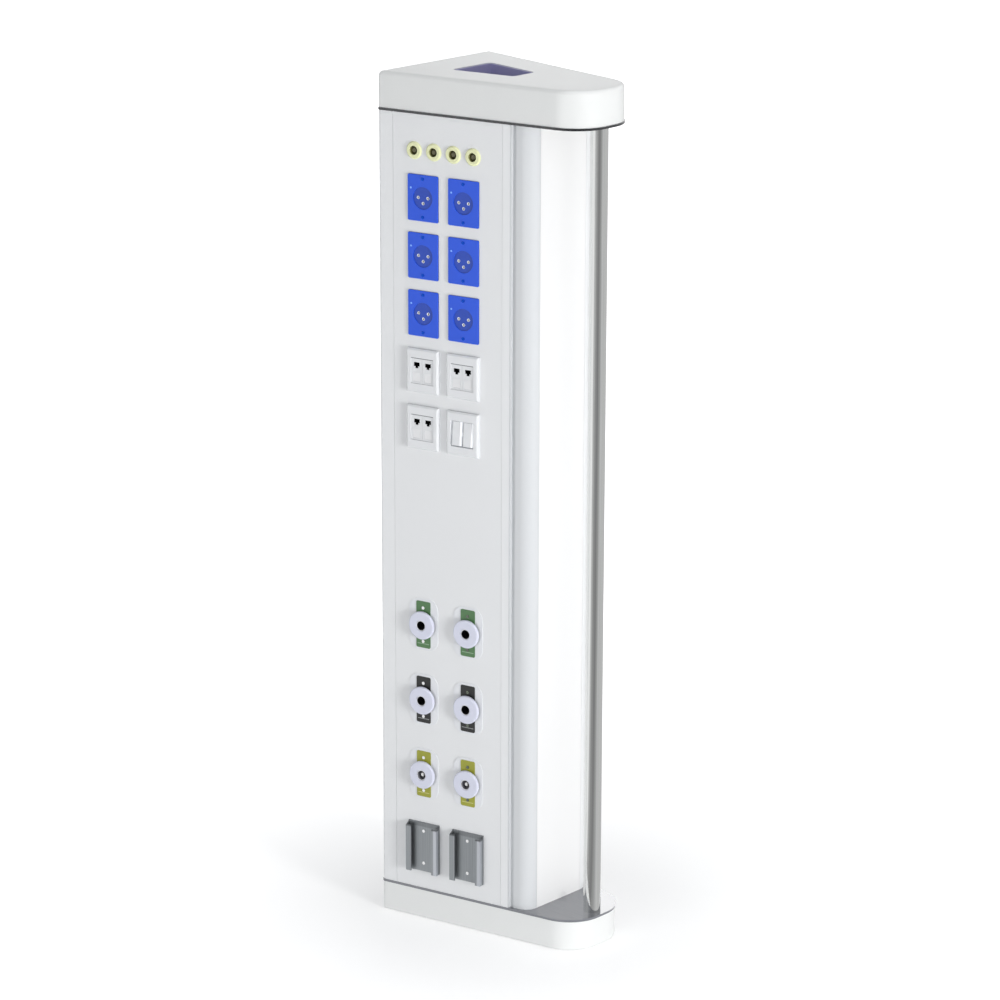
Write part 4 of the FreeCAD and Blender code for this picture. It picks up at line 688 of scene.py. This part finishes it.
bracket_alu, tree, output = new_material("bracket_aluminium")
lines = grain(tree, EXTRUSION_GRAIN, stretch=EXTRUSION_STRETCH)
tint = blended(tree, spread(tree, lines, 0.0, 1.0), ALU_DARK, ALU_BRIGHT)
run, out, height = side_axes(tree)
lip = folded(tree, run, BRACKET_MID + OUTLET_PITCH / 2, OUTLET_PITCH)
# Painted highlight along the front lip.
lip_highlight = reckon(tree, "MULTIPLY", spread(tree, lip, 0.0, 1.0, *LIP_ACROSS),
                spread(tree, out, 0.0, 1.0, *LIP_OUT))
# Painted shade on the upper ends.
top_shade = reckon(tree, "MULTIPLY", spread(tree, height, 0.0, 0.72, *TOP_SHADE_HEIGHTS),
              spread(tree, out, 0.25, 1.0, *TOP_SHADE_OUT))
tint = blended(tree, top_shade, blended(tree, lip_highlight, tint, LIP_PAINTED_HIGHLIGHT), TOP_PAINTED_SHADE)
normal = relief(tree, lines, EXTRUSION_DEPTH, eased_edges(tree, BRACKET_EDGE))
surfaced(tree, output, tint, spread(tree, lines, *EXTRUSION_GLOSS), normal, {"Metallic": 0.75})
finish(bracket_alu, "slide_bracket_1", "slide_bracket_2")


# Panel screws: slotted pan heads. Those of the mains sockets are blued, those of the front strips are painted
# dull as painted shade, the others bright zinc; one finish tells them apart by place.
SOCKET_LOW = 1.05
SCREW_BRIGHT = (0.86, 0.87, 0.88, 1)
SCREW_BLUED = (0.012, 0.078, 0.500, 1)
SCREW_PAINTED_SHADE = (0.16, 0.18, 0.15, 1)

screw_metal, tree, skin = turned_metal("screw_metal", SCREW_BRIGHT, rough=0.25)
run, out, height = side_axes(tree)
recolour(tree, skin, reckon(tree, "GREATER_THAN", height, SOCKET_LOW), SCREW_BLUED)
front_column = both_hold(tree, reckon(tree, "GREATER_THAN", run, OUTLET_MID),
                         reckon(tree, "GREATER_THAN", height, BRACKET_TOP))
# Painted shade: the front strips' screws are a dull dark grey-green.
shaded_screws = both_hold(tree, front_column, reckon(tree, "LESS_THAN", height, SOCKET_LOW))
recolour(tree, skin, shaded_screws, SCREW_PAINTED_SHADE)
finish(screw_metal, "panel_screws")


# Light: a broad lamp in front of the nose that whitens it and the recess, a weaker one on the service side
# and one from above. The broad one doesn't show in gloss, and the pole casts no shadow into the recess.
SKY_LIGHT = 0.35
SKY_TINT = (0.95, 0.97, 1.0, 1)
WHITE = (1, 1, 1, 1)


def add_lamp(name, place, target, width, height, watts):
    """A soft rectangular lamp that faces a target."""
    lamp = bpy.data.lights.new(name, "AREA")
    lamp.shape = "RECTANGLE"
    lamp.size = width
    lamp.size_y = height
    lamp.energy = watts
    stand = bpy.data.objects.new(name, lamp)
    scene.collection.objects.link(stand)
    aim = (Vector(target) - Vector(place)).to_track_quat("-Z", "Y")
    stand.matrix_world = Matrix.Translation(place) @ aim.to_matrix().to_4x4()
    return stand


key = add_lamp("key", place=(-0.70, -4.65, 0.80), target=(0, 0, 0.60), width=1.2, height=1.5, watts=160)
add_lamp("fill", place=(-3.5, -0.3, 0.52), target=(0, 0, 0.25), width=2.0, height=0.9, watts=27.5)
add_lamp("top", place=(0.2, -0.2, 4.2), target=(0, 0, 0.6), width=2.4, height=2.4, watts=37)
key.visible_glossy = False
NODES["hand_pole"].visible_shadow = False


def rays_that_see(tree):
    """1 for the rays that show a thing itself, in the camera, in gloss or through glass; 0 for its light."""
    path = put(tree, "ShaderNodeLightPath")
    shown = reckon(tree, "MAXIMUM", path.outputs["Is Camera Ray"], path.outputs["Is Glossy Ray"])
    return reckon(tree, "MAXIMUM", shown, path.outputs["Is Transmission Ray"])


world = bpy.data.worlds.new("studio")
scene.world = world
world.use_nodes = True
sky = world.node_tree
sky.nodes.clear()
sky_out = put(sky, "ShaderNodeOutputWorld")
sky_soft = put(sky, "ShaderNodeBackground", {"Color": SKY_TINT, "Strength": SKY_LIGHT})
sky_seen = put(sky, "ShaderNodeBackground", {"Color": WHITE, "Strength": 1.0})
inputs = {0: rays_that_see(sky), 1: sky_soft.outputs[0], 2: sky_seen.outputs[0]}
sky_mix = put(sky, "ShaderNodeMixShader", inputs)
sky.links.new(sky_mix.outputs[0], sky_out.inputs["Surface"])

# Floor: white paper. Where it is seen it is lifted to white away from the column, so that the ground is
# white and the column's own soft shadow stays.
FLOOR_HALF = 12.0
PAPER_WHITE = (0.90, 0.90, 0.90, 1)
LEAST_LIFT = 0.30
LIFT_REACH = (0.25, 1.6)

floor_mesh = bpy.data.meshes.new("floor")
corners = [(x * FLOOR_HALF, y * FLOOR_HALF, CAD_BOX[0][2]) for x, y in ((-1, -1), (1, -1), (1, 1), (-1, 1))]
floor_mesh.from_pydata(corners, [], [(0, 1, 2, 3)])
floor = bpy.data.objects.new("floor", floor_mesh)
scene.collection.objects.link(floor)
floor_finish, tree, output = new_material("floor_white")
paper = put(tree, "ShaderNodeBsdfPrincipled", {"Base Color": PAPER_WHITE, "Roughness": 0.9})
reach = put(tree, "ShaderNodeVectorMath", {0: object_place(tree)}, operation="LENGTH").outputs["Value"]
lift = spread(tree, reach, LEAST_LIFT, 1.0, *LIFT_REACH)
seen = reckon(tree, "MULTIPLY", lift, rays_that_see(tree))
glow = put(tree, "ShaderNodeEmission", {"Color": WHITE, "Strength": seen})
both = put(tree, "ShaderNodeAddShader", {0: paper.outputs[0], 1: glow.outputs[0]})
tree.links.new(both.outputs[0], output.inputs["Surface"])
floor_mesh.materials.append(floor_finish)

# Reflection boards: a round wall and floor of studio boards that only gloss sees. They give the pole its
# dark and grey bands; they light nothing and the camera doesn't see them.
BOARD_RADIUS = 1.9
BOARD_HEIGHT = 1.7
BOARD_FOOT = CAD_BOX[0][2] + 0.01
BOARD_INNER = 0.145
BOARD_POWER = 3.0
BOARD_STEPS = 96
# Each band's place, as a share of the turn from the side away from the camera, and its grey.
BOARD_BANDS = [(0.0, 3.0), (0.03, 1.0), (0.335, 1.0), (0.392, 0.50), (0.455, 0.32), (0.525, 0.25),
               (0.57, 0.36), (0.644, 0.60), (0.85, 0.60), (0.965, 0.50), (0.98, 3.0)]

board_mesh = bpy.data.meshes.new("boards")
rim = [2 * math.pi * step / BOARD_STEPS for step in range(BOARD_STEPS)]
ring = [(BOARD_RADIUS * math.cos(angle), BOARD_RADIUS * math.sin(angle), BOARD_FOOT) for angle in rim]
ring += [(x, y, z + BOARD_HEIGHT) for x, y, z in ring]
ring += [(x * BOARD_INNER, y * BOARD_INNER, z) for x, y, z in ring[:BOARD_STEPS]]
walls = []
for step in range(BOARD_STEPS):
    after = (step + 1) % BOARD_STEPS
    walls.append((step, after, after + BOARD_STEPS, step + BOARD_STEPS))
    walls.append((step + 2 * BOARD_STEPS, after + 2 * BOARD_STEPS, after, step))
board_mesh.from_pydata(ring, [], walls)
boards = bpy.data.objects.new("boards", board_mesh)
scene.collection.objects.link(boards)
board_finish, tree, output = new_material("board_grey")
place = put(tree, "ShaderNodeSeparateXYZ", {0: object_place(tree)})
bearing = reckon(tree, "ARCTAN2", place.outputs["Y"], place.outputs["X"])
turn_from = reckon(tree, "ADD", bearing, math.pi - math.atan2(EYE.y, EYE.x))
share = reckon(tree, "DIVIDE", reckon(tree, "FLOORED_MODULO", turn_from, 2 * math.pi), 2 * math.pi)
bands = put(tree, "ShaderNodeValToRGB", {0: share})
bands.color_ramp.interpolation = "EASE"
ramp = bands.color_ramp.elements
for spot, (position, grey) in enumerate(BOARD_BANDS):
    stop = ramp[spot] if spot < 2 else ramp.new(position)
    stop.position = position
    stop.color = (grey / BOARD_POWER, grey / BOARD_POWER, grey / BOARD_POWER, 1)
board_glow = put(tree, "ShaderNodeEmission", {"Color": bands.outputs[0], "Strength": BOARD_POWER})
tree.links.new(board_glow.outputs[0], output.inputs["Surface"])
board_mesh.materials.append(board_finish)
for kind in ("camera", "diffuse", "transmission", "shadow", "volume_scatter"):
    setattr(boards, "visible_" + kind, False)
